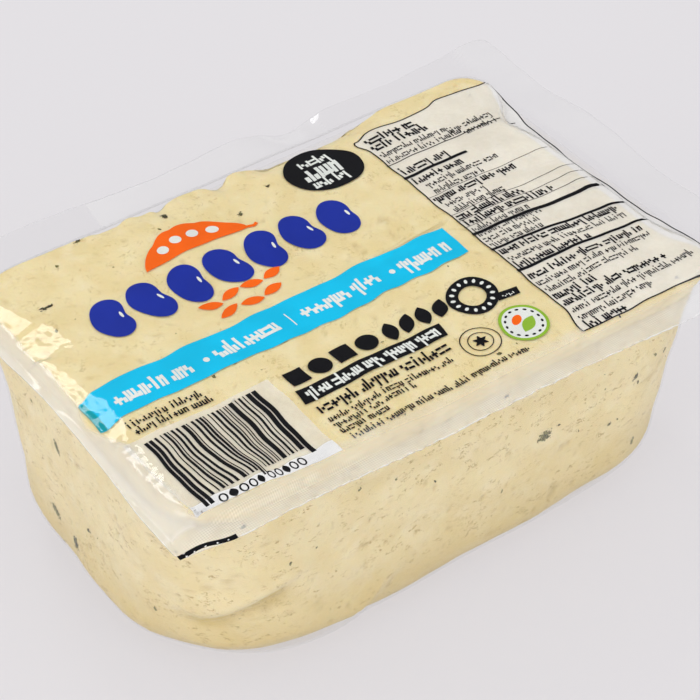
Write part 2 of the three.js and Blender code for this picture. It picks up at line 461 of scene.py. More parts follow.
    def wall_relief(self, ring: Array, z: Array) -> Array:
        """How far the wall stands out: corner lips, the front fold, a foot's bulge and lumps.

        The lips lie round the near left corner and the fold in front, where it rises by
        its slope from its foot. All of it fades out at the lid and at the underside.

        Args:
            ring: Outline points as x, y, nx, ny in the last axis.
            z: Heights of those points.

        Returns:
            Distances to move outwards.
        """
        x, y, nx, ny = np.moveaxis(ring, -1, 0)
        round_by = self.round_corner(x, y)
        corner = smoothstep(-nx - ny, 0.5, 1.1) * smoothstep(round_by, -10, -1)
        corner = corner * (1 - smoothstep(round_by, 8, 21))
        lower = self.lower_crease + 2.5 * (1 - bell(round_by, 18))
        lips = self.lip(z - self.crease_height(round_by), *self.upper_lip)
        lips = lips + self.lip(z - lower, *self.lower_lip)
        front = np.maximum(0, -ny) ** 4 * smoothstep(-z, -18, -8) * smoothstep(z, 1, 4)
        before_fold = 0.68 * (self.fold_foot + self.fold_slope * z - x)
        fold = front * self.lip(before_fold, *self.fold_lip)
        foot = np.maximum(0, -nx) * smoothstep(-round_by, 8, 14)
        foot = foot * (1 - smoothstep(-round_by, 27, 34))
        bulge = self.foot_bulge * foot * bell(z - 8, 5)
        lumps = self.wall_lump * np.sin(0.19 * x + 0.31 * z) * np.cos(0.23 * y - 0.17 * z)
        fade = smoothstep(self.lid_height - z, 4, 9) * smoothstep(z, 0.5, 4)
        return fade * (corner * lips + fold + bulge + lumps)

    def wall_rings(self, heights: Array, insets: Array, steps: Steps) -> Array:
        """Rings of the wall and base at given heights and extra insets.

        The plan corner grows with the depth below the lid, and each wall leans in by
        the draft.

        Args:
            heights: Height of each ring.
            insets: How much further in than the wall each ring lies.
            steps: How finely each ring is divided.

        Returns:
            Array of shape (rings, points, 3).
        """
        rings = []
        for z, inset in zip(heights, insets):
            down = min(max(1 - z / self.lid_height, 0.0), 1.0)
            corner = lerp(self.walls.corner, self.corner_base, down**self.corner_growth)
            corner = corner - self.corner_tighten * inset
            ring = self.block_ring(self.wall_draft * down + inset, corner, steps, down)
            out = self.wall_relief(ring, np.full(len(ring), z))
            plan = ring[:, :2] + out[:, None] * ring[:, 2:]
            rings.append(np.column_stack([plan, np.full(len(ring), z)]))
        return np.stack(rings)

    def cup_rings(self, gap: float, flat_step: float, wall_z: Array, steps: Steps) -> Array:
        """Rings from the underside's middle, by a quarter round, up the walls.

        Args:
            gap: How far inside the film's outer face they lie.
            flat_step: Distance between the rings of the flat underside.
            wall_z: Heights of the rings of the walls.
            steps: How finely each ring is divided.

        Returns:
            Array of shape (rings, points, 3).
        """
        flat = np.arange(self.middle_inset, self.base_round + 1.0, -flat_step)
        angle = np.linspace(0, np.pi / 2, self.base_steps)
        r = self.base_round - gap
        turn_z = gap + r * (1 - np.cos(angle))
        turn_inset = self.base_round - r * np.sin(angle)
        heights = np.concatenate([np.full(len(flat), gap), turn_z, wall_z])
        insets = np.concatenate([flat, turn_inset, np.full(len(wall_z), gap)])
        return self.wall_rings(heights, insets, steps)

    def top_rings(self, insets: Sequence[float], drop: float, steps: Steps) -> Array:
        """Rings of the lid's surface at given insets, lowered by drop."""
        rings = []
        for inset in insets:
            x, y = self.lid_ring(inset, steps).T
            rings.append(np.stack([x, y, self.lid_surface(x, y) - drop], -1))
        return np.stack(rings)


# ---- meshes --------------------------------------------------------------------------


def add_object(name: str, data: bpy.types.ID) -> Object:
    """A new object on the given data, linked to the scene."""
    made = bpy.data.objects.new(name, data)
    bpy.context.scene.collection.objects.link(made)
    return made


@dataclass
class MeshParts:
    """Vertices in millimetres with their faces, ready to be joined and written."""

    vertices: Array
    quads: Array
    triangles: Array = field(default_factory=lambda: np.zeros((0, 3), np.int64))

    @staticmethod
    def joined(parts: Sequence["MeshParts"]) -> "MeshParts":
        """One mesh of several, with the faces renumbered."""
        starts = np.cumsum([0] + [len(p.vertices) for p in parts[:-1]])
        return MeshParts(
            np.concatenate([p.vertices for p in parts]),
            np.concatenate([p.quads + s for p, s in zip(parts, starts)]),
            np.concatenate([p.triangles + s for p, s in zip(parts, starts)]),
        )

    def write(self, name: str, material: Material, smooth: bool = True) -> Object:
        """Makes the object, at the origin and in metres.

        Args:
            name: Name of the piece.
            material: Its only material.
            smooth: Whether its faces are shaded smooth.

        Returns:
            The new object, linked to the scene.
        """
        mesh = bpy.data.meshes.new(name)
        mesh.vertices.add(len(self.vertices))
        mesh.vertices.foreach_set("co", (self.vertices * MM).astype(np.float32).ravel())
        corners = np.concatenate([self.quads.ravel(), self.triangles.ravel()]).astype(np.int32)
        mesh.loops.add(len(corners))
        mesh.loops.foreach_set("vertex_index", corners)
        counts = np.repeat([4, 3], [len(self.quads), len(self.triangles)])
        mesh.polygons.add(len(counts))
        starts = np.concatenate([[0], np.cumsum(counts)[:-1]]).astype(np.int32)
        mesh.polygons.foreach_set("loop_start", starts)
        mesh.polygons.foreach_set("use_smooth", np.full(len(counts), smooth))
        mesh.update(calc_edges=True)
        mesh.validate()
        mesh.materials.append(material)
        return add_object(name, mesh)


def loft(rings: Array, first: float, last: float) -> MeshParts:
    """Closed body of rings, capped at both ends by a fan round a point on the Z axis.

    Args:
        rings: Array of shape (rings, points, 3) from the first cap to the last.
        first: Height of the first cap's middle.
        last: Height of the last cap's middle.

    Returns:
        The body, with its caps' middles as the last two vertices.
    """
    count, around = rings.shape[:2]
    index = np.arange(count * around).reshape(count, around)
    turned = np.roll(index, -1, axis=1)
    quads = np.stack([index[:-1], turned[:-1], turned[1:], index[1:]], -1).reshape(-1, 4)
    low, high = count * around, count * around + 1
    fans = [
        np.stack([np.full(around, low), turned[0], index[0]], -1),
        np.stack([np.full(around, high), index[-1], turned[-1]], -1),
    ]
    vertices = np.concatenate([rings.reshape(-1, 3), [(0.0, 0.0, first), (0.0, 0.0, last)]])
    return MeshParts(vertices, quads, np.concatenate(fans))


def slab(top: Array, thickness: float, closed: bool) -> MeshParts:
    """Thin closed slab under a grid that faces up.

    Args:
        top: Grid of shape (rows, columns, 3) of the upper face.
        thickness: How far below it the lower face lies.
        closed: Whether the last column meets the first.

    Returns:
        Upper face, lower face and the walls along every free edge.
    """
    rows, columns = top.shape[:2]
    count = rows * columns
    index = np.arange(count).reshape(rows, columns)
    if closed:
        index = np.concatenate([index, index[:, :1]], axis=1)
    face = np.stack([index[:-1, :-1], index[:-1, 1:], index[1:, 1:], index[1:, :-1]], -1)
    face = face.reshape(-1, 4)
    edges = [np.stack([index[0, :-1], index[0, 1:]], -1),
             np.stack([index[-1, 1:], index[-1, :-1]], -1)]
    if not closed:
        edges.append(np.stack([index[:-1, -1], index[1:, -1]], -1))
        edges.append(np.stack([index[1:, 0], index[:-1, 0]], -1))
    start, end = np.concatenate(edges).T
    sides = np.stack([end, start, start + count, end + count], -1)
    below = top - np.array([0.0, 0.0, thickness])
    vertices = np.concatenate([top.reshape(-1, 3), below.reshape(-1, 3)])
    return MeshParts(vertices, np.concatenate([face, face[:, ::-1] + count, sides]))


def store(made: Object, name: str, values: Array) -> None:
    """Keeps a number for each vertex, with 0 for those past the end, for a material to read."""
    padded = np.zeros(len(made.data.vertices), np.float32)
    padded[:values.size] = values.ravel()
    attribute = made.data.attributes.new(name, "FLOAT", "POINT")
    attribute.data.foreach_set("value", padded)


# ---- node trees ----------------------------------------------------------------------


class Graph:
    """Short calls for building one node tree."""

    def __init__(self, tree: bpy.types.NodeTree) -> None:
        """Starts on an existing tree."""
        self.tree = tree

    @classmethod
    def of_material(cls, name: str) -> tuple[Material, "Graph"]:
        """A new material with an empty node tree, and the graph on it."""
        material = bpy.data.materials.new(name)
        material.use_nodes = True
        material.node_tree.nodes.clear()
        return material, cls(material.node_tree)

    def add(
        self, kind: str, inputs: dict[str | int, Any] | None = None, **settings: Any
    ) -> Node:
        """Adds a node.

        Args:
            kind: Blender's name of the node type.
            inputs: Values or sockets for its input sockets, by name or number.
            **settings: Properties of the node itself.

        Returns:
            The new node.
        """
        node = self.tree.nodes.new(kind)
        for key, value in settings.items():
            setattr(node, key, value)
        for key, value in (inputs or {}).items():
            self.feed(node.inputs[key], value)
        return node

    def feed(self, socket: Socket, value: Any) -> None:
        """Links a socket to another one, or sets its own value."""
        if isinstance(value, Socket):
            self.tree.links.new(value, socket)
        elif socket.type == "RGBA":
            socket.default_value = (*value, 1.0)
        else:
            socket.default_value = value

    def math(self, operation: str, *values: Any, clamp: bool = False) -> Socket:
        """One Math node on up to three values or sockets."""
        inputs = dict(enumerate(values))
        return self.add("ShaderNodeMath", inputs, operation=operation, use_clamp=clamp).outputs[0]

    def times(self, a: Any, b: Any) -> Socket:
        """Product of two values or sockets."""
        return self.math("MULTIPLY", a, b)

    def step(
        self, value: Any, low: Any, high: Any, start: float = 0.0, end: float = 1.0
    ) -> Socket:
        """Smooth step of a value between two limits."""
        inputs = {"Value": value, "From Min": low, "From Max": high}
        inputs.update({"To Min": start, "To Max": end})
        node = self.add("ShaderNodeMapRange", inputs, interpolation_type="SMOOTHSTEP")
        return node.outputs["Result"]

    def mix(self, factor: Any, a: Any, b: Any, blend: str = "MIX") -> Socket:
        """Mixes two colours by a factor."""
        node = self.add("ShaderNodeMix", data_type="RGBA", blend_type=blend)
        self.feed(node.inputs["Factor"], factor)
        self.feed(node.inputs[6], a)
        self.feed(node.inputs[7], b)
        return node.outputs[2]

    def noise(self, place: Any, size: float, detail: float, distortion: float = 0.0) -> Socket:
        """Noise whose lumps are about size millimetres wide."""
        inputs = {"Vector": place, "Scale": 1.0 / (size * MM)}
        inputs.update({"Detail": detail, "Distortion": distortion})
        return self.add("ShaderNodeTexNoise", inputs).outputs[0]

    def place(self) -> Socket:
        """Object coordinates, in metres."""
        return self.add("ShaderNodeTexCoord").outputs["Object"]

    def in_front(self) -> Socket:
        """1 where a face is seen from its front and 0 from behind."""
        behind = self.add("ShaderNodeNewGeometry").outputs["Backfacing"]
        return self.math("SUBTRACT", 1.0, behind)

    def attribute(self, name: str) -> Socket:
        """The value of a vertex attribute."""
        return self.add("ShaderNodeAttribute", attribute_name=name).outputs["Fac"]

    def bump(self, height: Any, depth: float) -> Socket:
        """Normal bent by a height map whose full range is depth millimetres."""
        inputs = {"Height": height, "Distance": depth * MM, "Strength": 1.0}
        return self.add("ShaderNodeBump", inputs).outputs["Normal"]

    def group(self, tree: bpy.types.NodeTree, **inputs: Any) -> Node:
        """Places a node group."""
        node = self.add("ShaderNodeGroup", node_tree=tree)
        for key, value in inputs.items():
            self.feed(node.inputs[key], value)
        return node

    def surface(self, shader: Socket) -> None:
        """Ends a material's tree on a shader."""
        self.add("ShaderNodeOutputMaterial", {"Surface": shader})


def effect(
    name: str, inputs: Sequence[str], outputs: Sequence[str]
) -> tuple[bpy.types.NodeTree, Graph, Any, Any]:
    """A new shader node group with named inputs and outputs.

    Args:
        name: Name of the group.
        inputs: Names of its inputs; "Place" is a vector and the others are numbers.
        outputs: Names of its outputs, all of them numbers.

    Returns:
        The tree, the graph on it, its input node and its output node.
    """
    tree = bpy.data.node_groups.new(name, "ShaderNodeTree")
    for socket in inputs:
        kind = "NodeSocketVector" if socket == "Place" else "NodeSocketFloat"
        tree.interface.new_socket(socket, in_out="INPUT", socket_type=kind)
    for socket in outputs:
        tree.interface.new_socket(socket, in_out="OUTPUT", socket_type="NodeSocketFloat")
    graph = Graph(tree)
    return tree, graph, graph.add("NodeGroupInput"), graph.add("NodeGroupOutput")


class Effects:
    """The effects that several finishes share, each built once."""

    def __init__(self) -> None:
        """Builds the groups."""
        self.tight_film = self._tight_film()
        self.mottling = self._mottling()

    @staticmethod
    def _tight_film() -> bpy.types.NodeTree:
        """Height of the fine wrinkles in stretched film, and patches where it grips less."""
        tree, graph, given, out = effect("tight_film", ["Place"], ["Height", "Patch"])
        place = given.outputs["Place"]
        broad = graph.noise(place, 9.0, 1.0)
        fine = graph.noise(place, 2.2, 0.0)
        height = graph.math("MULTIPLY_ADD", broad, 0.6, graph.times(fine, 0.2))
        graph.feed(out.inputs["Height"], height)
        graph.feed(out.inputs["Patch"], graph.noise(place, 3.5, 1.0))
        return tree

    @staticmethod
    def _mottling() -> bpy.types.NodeTree:
        """Uneven tone: broad clouds and a fine grain, both about 0.5."""
        tree, graph, given, out = effect("mottling", ["Place"], ["Cloud", "Grain"])
        graph.feed(out.inputs["Cloud"], graph.noise(given.outputs["Place"], 8.0, 2.0))
        graph.feed(out.inputs["Grain"], graph.noise(given.outputs["Place"], 0.9, 2.0))
        return tree


# ---- finishes ------------------------------------------------------------------------


class Finish:
    """A finish: its name, and a shader that a subclass builds."""

    name: str

    def material(self, effects: Effects) -> Material:
        """Builds the material.

        Args:
            effects: The shared node groups.

        Returns:
            A new material whose surface is the finish's shader.
        """
        material, graph = Graph.of_material(self.name)
        graph.surface(self.shader(graph, effects).outputs[0])
        return material

    def shader(self, graph: Graph, effects: Effects) -> Node:
        """Adds the shader and what feeds it to the material's tree."""
        raise NotImplementedError


@dataclass(frozen=True)
class CurdFinish(Finish):
    """Firm tofu: soft cream with short tan cracks and specks, slightly see-through.

    It reads the piece's attributes "pit", where the skin is pitted, and "painted_crease_shade",
    where a fold of the film has pressed it in and the curd is painted yellower as shade.
    """

    name: str = "tofu_curd"
    cream: Colour = (0.86, 0.73, 0.42)
    pale: Colour = (0.89, 0.78, 0.51)
    deep: Colour = (0.82, 0.675, 0.355)
    yellow: Colour = (0.63, 0.475, 0.175)
    tan: Colour = (0.42, 0.285, 0.09)
    pepper: Colour = (0.10, 0.085, 0.045)
    crack_size: float = 1.5
    crack_width: float = 0.046
    speck_pitch: float = 2.6
    foot: float = 27.0
    wall_top: float = 46.0
    lid_from: float = 47.5
    wall_cracks: float = 0.8
    lid_cracks: float = 0.36

    def shader(self, graph: Graph, effects: Effects) -> Node:
        """Mottled cream, yellower towards the foot, with painted shade as a yellower tone in the
        film's creases, cracked and stained.
        """
        place = graph.place()
        mottle = graph.group(effects.mottling, Place=place)
        cloud, grain = mottle.outputs["Cloud"], mottle.outputs["Grain"]
        tone = graph.mix(graph.step(cloud, 0.3, 0.65), self.deep, self.cream)
        paler = graph.step(graph.noise(place, 4.0, 2.0), 0.5, 0.75, 0.0, 0.5)
        tone = graph.mix(paler, tone, self.pale)
        rise = graph.add("ShaderNodeSeparateXYZ", {0: place}).outputs[2]
        tone = graph.mix(graph.step(rise, 0.0, self.foot * MM, 0.95, 0.0), tone, self.yellow)
        # painted shade: the curd is painted yellower in the creases that the film's lips and fold
        # press in, where shade falls
        tone = graph.mix(graph.times(graph.attribute("painted_crease_shade"), 0.9), tone, self.yellow)
        squeezed = {"Vector": place, "Scale": (1.0, 1.0, 1.6)}
        flat = graph.add("ShaderNodeMapping", squeezed).outputs[0]
        crack = self._cracks(graph, flat)
        shown = graph.step(
            rise, self.wall_top * MM, self.lid_from * MM, self.wall_cracks, self.lid_cracks)
        tan_share = graph.math("MAXIMUM", graph.times(crack, shown), self._stains(graph, flat))
        # the pits are painted tan as well, darker wherever the skin dips in
        tan_share = graph.math("MAXIMUM", tan_share, graph.times(graph.attribute("pit"), 0.3))
        tone = graph.mix(tan_share, tone, self.tan)
        tone = graph.mix(self._specks(graph, place), tone, self.pepper)
        fine = graph.times(grain, 0.3)
        height = graph.math("MULTIPLY_ADD", graph.noise(place, 2.4, 2.0), 0.5, fine)
        return graph.add("ShaderNodeBsdfPrincipled", {
            "Base Color": tone,
            "Roughness": graph.step(grain, 0.3, 0.8, 0.45, 0.62),
            "Specular IOR Level": 0.25,
            "Subsurface Weight": 0.3,
            "Subsurface Radius": (1.0, 0.65, 0.3),
            "Subsurface Scale": 0.002,
            "Normal": graph.bump(height, 0.3),
        })

    def _cracks(self, graph: Graph, place: Any) -> Socket:
        """Short crooked cracks: a rough noise's middle, kept in patches and in pits."""
        rough = graph.noise(place, self.crack_size, 2.0, 1.2)
        line = graph.math("ABSOLUTE", graph.math("SUBTRACT", rough, 0.5))
        kept = graph.step(graph.noise(place, 1.8, 2.0), 0.55, 0.59)
        kept = graph.math("MAXIMUM", kept, graph.attribute("pit"))
        crowd = graph.step(graph.noise(place, 7.0, 1.0), 0.4, 0.58, 0.25, 1.0)
        line = graph.step(line, 0.25 * self.crack_width, self.crack_width, 1.0, 0.0)
        return graph.times(graph.times(line, crowd), kept)

    def _stains(self, graph: Graph, place: Any) -> Socket:
        """Soft tan stains where a slow noise peaks over a finer one."""
        peak = graph.step(graph.noise(place, 6.0, 3.0), 0.57, 0.74)
        spot = graph.step(graph.noise(place, 0.8, 2.0), 0.52, 0.68, 0.0, 0.4)
        return graph.times(peak, spot)

    def _specks(self, graph: Graph, place: Any) -> Socket:
        """Fine dark specks: the middles of a few scattered cells."""
        inputs = {"Vector": place, "Scale": 1.0 / (self.speck_pitch * MM)}
        cells = graph.add("ShaderNodeTexVoronoi", inputs)
        chance = graph.add("ShaderNodeSeparateColor", {0: cells.outputs["Color"]}).outputs
        reach = graph.math("MULTIPLY_ADD", chance[1], 0.05, 0.02)
        near = graph.step(cells.outputs["Distance"], 0.0, reach, 1.0, 0.0)
        return graph.times(near, graph.step(chance[0], 0.82, 0.88, 0.0, 0.6))


@dataclass(frozen=True)
class FilmFinish(Finish):
    """Clear laminate: lets light through, mirrors by angle, and is milky by its haze.

    It reads the piece's attributes "haze_and_cut_highlight", how milky it is, with a painted
    highlight along the lid's cut edge, and "seal", where the sealing bar has knurled it. Faces
    seen from behind are clear, so that a thin closed film mirrors and is milky only once.
    """

    name: str
    ior: float = 1.45
    gloss: float = 0.07
    most_mirror: float = 0.24
    milk: Colour = (0.86, 0.86, 0.86)
    wrinkle: float = 0.05
    knurl_pitch: float = 0.62
    knurl_haze: float = 0.13

    def shader(self, graph: Graph, effects: Effects) -> Node:
        """A mirror by the angle over a milky or clear body, both wrinkled."""
        place = graph.place()
        film = graph.group(effects.tight_film, Place=place)
        gripped = graph.step(film.outputs["Patch"], 0.35, 0.65, 0.35, 1.0)
        knurl = graph.times(self._knurl(graph, place), graph.attribute("seal"))
        knurl = graph.times(knurl, gripped)
        normal = graph.bump(film.outputs["Height"], self.wrinkle)
        front = graph.in_front()
        # haze, and along the lid's cut edge a painted highlight
        haze_and_cut_highlight = graph.attribute("haze_and_cut_highlight")
        haze_and_cut_highlight = graph.math("MULTIPLY_ADD", knurl, self.knurl_haze, haze_and_cut_highlight, clamp=True)
        milk = graph.add("ShaderNodeBsdfPrincipled", {
            "Base Color": self.milk, "Roughness": 0.5, "Specular IOR Level": 0.2,
            "Normal": normal})
        clear = graph.add("ShaderNodeBsdfTransparent")
        body = graph.add("ShaderNodeMixShader", {
            0: graph.times(haze_and_cut_highlight, front), 1: clear.outputs[0], 2: milk.outputs[0]})
        mirror = graph.add("ShaderNodeBsdfGlossy", {"Roughness": self.gloss, "Normal": normal})
        angle = graph.add("ShaderNodeFresnel", {"IOR": self.ior, "Normal": normal}).outputs[0]
        angle = graph.math("MINIMUM", angle, self.most_mirror)
        return graph.add("ShaderNodeMixShader", {
            0: graph.times(angle, front), 1: body.outputs[0], 2: mirror.outputs[0]})

    def _knurl(self, graph: Graph, place: Any) -> Socket:
        """Crossed diagonal ribs from 0 to 1: the product of two waves at a slant."""
        axes = graph.add("ShaderNodeSeparateXYZ", {0: place}).outputs
        pace = 2.0 * math.pi / (self.knurl_pitch * MM * math.sqrt(2.0))
        waves = [
            graph.math("SINE", graph.times(graph.math(turn, axes[0], axes[1]), pace))
            for turn in ("ADD", "SUBTRACT")
        ]
        return graph.math("MULTIPLY_ADD", graph.times(*waves), 0.5, 0.5)


class Ink(Enum):
    """The inks of the lid's print."""

    WHITE = "white"
    VEIL = "veil"
    SOLID = "solid_white"
    CREAM = "cream"
    CYAN = "cyan"
    # painted shade: a darker cyan for the ribbon's end, which turns down into shade
    TEAL = "teal"
    BLUE = "blue"
    ORANGE = "orange"
    GREEN = "green"
    BLACK = "black"


@dataclass(frozen=True)
class InkFinish(Finish):
    """Printed ink: one colour with a slight unevenness, and how well it covers.

    A thin white ink lets most stray light through to what lies under it.
    """

    ink: Ink
    colour: Colour
    cover: float = 1.0
    stray_cover: float = 0.2

    @property
    def name(self) -> str:
        """The ink's own name."""
        return f"ink_{self.ink.value}"

    def shader(self, graph: Graph, effects: Effects) -> Node:
        """One colour, a tenth darker in clouds, with the ink's cover as its alpha."""
        mottle = graph.group(effects.mottling, Place=graph.place())
        darker = tuple(0.9 * c for c in self.colour)
        tone = graph.mix(graph.step(mottle.outputs["Cloud"], 0.3, 0.7), darker, self.colour)
        shader = graph.add("ShaderNodeBsdfPrincipled", {
            "Base Color": tone, "Roughness": 0.5, "Specular IOR Level": 0.1})
        if self.cover < 1.0:
            graph.feed(shader.inputs["Alpha"], self._covered(graph, mottle.outputs["Grain"]))
        return shader

    def _covered(self, graph: Graph, grain: Any) -> Socket:
        """Cover of the ink's front: uneven by grain, and thinner for stray light."""
        cover = graph.step(grain, 0.2, 0.8, self.cover - 0.04, self.cover)
        ways = graph.add("ShaderNodeLightPath").outputs
        stray = graph.math("MAXIMUM", ways["Is Shadow Ray"], ways["Is Diffuse Ray"])
        kept = graph.math("MULTIPLY_ADD", stray, self.stray_cover - 1.0, 1.0)
        front = graph.in_front()
        return graph.times(graph.times(cover, kept), front)


INKS = {
    finish.ink: finish
    for finish in (
        InkFinish(Ink.WHITE, (0.90, 0.885, 0.86), 0.68),
        InkFinish(Ink.VEIL, (0.90, 0.885, 0.86), 0.48),
        InkFinish(Ink.SOLID, (0.93, 0.925, 0.92), 0.92),
        InkFinish(Ink.CREAM, (0.82, 0.84, 0.80)),
        InkFinish(Ink.CYAN, (0.0, 0.56, 0.88)),
        # painted shade: the ribbon's cyan, darker
        InkFinish(Ink.TEAL, (0.0, 0.36, 0.42)),
        InkFinish(Ink.BLUE, (0.008, 0.028, 0.36)),
        InkFinish(Ink.ORANGE, (1.0, 0.145, 0.002)),
        InkFinish(Ink.GREEN, (0.30, 0.52, 0.04)),
        InkFinish(Ink.BLACK, (0.006, 0.006, 0.009)),
    )
}


@dataclass(frozen=True)
class HerbFinish(Finish):
    """Dried herb: near-black green to olive, by the piece's attribute "tint".

    Its attribute "rim" runs from 0 in a scrap's middle to 1 at its edge, where noise
    eats it away.
    """

    name: str = "dried_herb"
    dark: Colour = (0.026, 0.027, 0.010)
    olive: Colour = (0.29, 0.27, 0.09)

    def shader(self, graph: Graph, effects: Effects) -> Node:
        """Dark to olive in patches, see-through where its edge is eaten away."""
        place = graph.place()
        grain = graph.group(effects.mottling, Place=place).outputs["Grain"]
        patchy = graph.noise(place, 0.45, 2.0)
        lift = graph.math("SUBTRACT", graph.attribute("tint"), 2.2)
        share = graph.math("MULTIPLY_ADD", patchy, 4.0, lift, clamp=True)
        edge = graph.math("SUBTRACT", graph.attribute("rim"), 1.5)
        eaten = graph.math("MULTIPLY_ADD", graph.noise(place, 0.5, 3.0), 3.0, edge)
        return graph.add("ShaderNodeBsdfPrincipled", {
            "Base Color": graph.mix(share, self.dark, self.olive),
            "Roughness": 0.7,
            "Alpha": graph.step(eaten, 0.65, 0.85, 0.95, 0.0),
            "Normal": graph.bump(grain, 0.1),
        })


# ---- the curd and its herbs ----------------------------------------------------------


@dataclass(frozen=True)
class Bell:
    """A dip along the block: its place, its depth and its width."""

    place: float
    depth: float
    width: float

    def at(self, x: Array) -> Array:
        """Depth times a bell curve about the place."""
        return self.depth * bell(x - self.place, self.width)


@dataclass
class TofuBlock:
    """The block of pressed curd, just inside the film."""

    form: PackForm
    effects: Effects
    steps: Steps = Steps(160, 100, 20)
    film_gap: float = 0.26
    crag_depth: float = 0.22
    pit_depth: float = 0.22
    flat_step: float = 1.6
    wall_from: float = 0.8
    wall_step: float = 0.6
    wall_top: float = 45.6
    edge_insets: tuple[float, ...] = (0.45, 0.8, 1.25, 1.8, 2.5, 3.3)
    top_insets: tuple[float, float, float] = (4.2, 38.0, 0.95)
    chamfer_from: Place = (55.0, 48.5)
    chamfer_way: Place = (0.83, 0.56)
    chamfer_blend: float = 0.64
    notches: tuple[Bell, ...] = (Bell(-17.5, 1.7, 1.7), Bell(-4.0, 1.9, 1.9))
    stretch_depth: float = 2.6
    foot_bays: tuple[Bell, ...] = (Bell(-36.0, 1.3, 10.0), Bell(30.0, 0.7, 9.0))
    object: Object | None = None

    def rings(self) -> Array:
        """Rings from the underside's middle, round the base, up the walls and over the top."""
        form, gap = self.form, self.film_gap
        wall_z = np.arange(form.base_round + self.wall_from, self.wall_top, self.wall_step)
        walls = form.cup_rings(gap, self.flat_step, wall_z, self.steps)
        insets = [gap, *self.edge_insets, *np.arange(*self.top_insets)]
        return np.concatenate([walls, form.top_rings(insets, gap, self.steps)])

    def slack(self, points: Array) -> Array:
        """How far the curd draws back from the film, along its own normals.

        It dips along the far top edge, in two narrow notches and a long stretch, and
        rounds off more than the pocket does along parts of the front's foot.
        """
        x, y, z = np.moveaxis(points, -1, 0)
        inset = self.form.walls.inset_at(x, y)
        from_edge = np.hypot(np.maximum(inset - 0.4, 0) * 0.8, np.minimum(z - 47.0, 0) * 0.4)
        notches = sum(notch.at(x) for notch in self.notches)
        stretch = self.stretch_depth * smoothstep(x, 2, 8) * (1 - smoothstep(x, 20, 38))
        uneven = 0.3 + 0.5 * lattice_noise(points, 3.0, Seed.CURD_EDGE)
        uneven = uneven * (1 - smoothstep(x, 30, 42))
        dips = notches + stretch + uneven * smoothstep(x, -50, -25)
        far = bell(from_edge, 2.9) * smoothstep(y, 25, 36) * np.maximum(dips, 0)
        foot = bell(z - 3.0, 4.5) * smoothstep(-y, 22, 32)
        bays = sum(bay.at(x) for bay in self.foot_bays) + 0.2
        return far + foot * bays * smoothstep(inset, 14, 5)

    def chamfered(self, points: Array) -> Array:
        """The points with the curd's right top edge cut off along a slanting plane.

        A point that lies s beyond the plane moves back by (s + root(s squared + blend)) / 2
        along the plane's normal, where the film is drawn in above it.
        """
        x, y, z = np.moveaxis(points, -1, 0)
        (x0, z0), (nx, nz) = self.chamfer_from, self.chamfer_way
        beyond = nx * (x - x0) + nz * (z - z0)
        share = smoothstep(y, -34, -20) * (1 - smoothstep(y, 22, 35)) * smoothstep(x, 30, 45)
        back = share * (beyond + np.sqrt(beyond**2 + self.chamfer_blend)) / 2
        return points - back[..., None] * np.array([nx, 0.0, nz])

    def build(self, finish: CurdFinish) -> None:
        """Builds the block's mesh and dresses it.

        The surface is the film's, drawn in by slack and chamfered, then moved along its
        normal by crags (three octaves of noise) and pits (where another noise peaks).

        Args:
            finish: The curd's finish.
        """
        points = self.rings()
        normals = grid_normals(points)
        outline = np.concatenate([points[..., :2], normals[..., :2]], -1)
        relief = self.form.wall_relief(outline, points[..., 2])
        points = self.chamfered(points - normals * self.slack(points)[..., None])
        crags = fractal_noise(points, 4.2, 3, Seed.CRAGS)
        ground = smoothstep(points[..., 2], 0.6, 3.0)
        pits = smoothstep(fractal_noise(points, 1.9, 2, Seed.PITS), 0.46, 0.72) * ground
        inward = self.crag_depth * (0.5 - 0.5 * crags) * ground + self.pit_depth * pits
        points = points - normals * inward[..., None]
        top = self.form.middle_height() - self.film_gap - 0.5 * self.crag_depth
        self.object = loft(points, self.film_gap, top).write(
            "curd_block", finish.material(self.effects))
        store(self.object, "pit", pits)
        # mask of the painted crease shade: where the wall relief sinks in
        store(self.object, "painted_crease_shade", smoothstep(-relief, 0.12, 0.5))
        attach(self.object, BODY)
        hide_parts(POCKET_NODE)


class Side(Enum):
    """A side of the block: the way in from outside, and the ways along and across it."""

    TOP = ((0, 0, -1), (1, 0, 0), (0, 1, 0))
    FRONT = ((0, 1, 0), (1, 0, 0), (0, 0, 1))
    LEFT = ((1, 0, 0), (0, -1, 0), (0, 0, 1))
    RIGHT = ((-1, 0, 0), (0, -1, 0), (0, 0, 1))
    BACK = ((0, -1, 0), (1, 0, 0), (0, 0, 1))


@dataclass(frozen=True)
class Fleck:
    """One piece of herb: its side, its place there, its length, width and turn."""

    side: Side
    along: float
    across: float
    length: float
    width: float
    turn: float
    tint: float


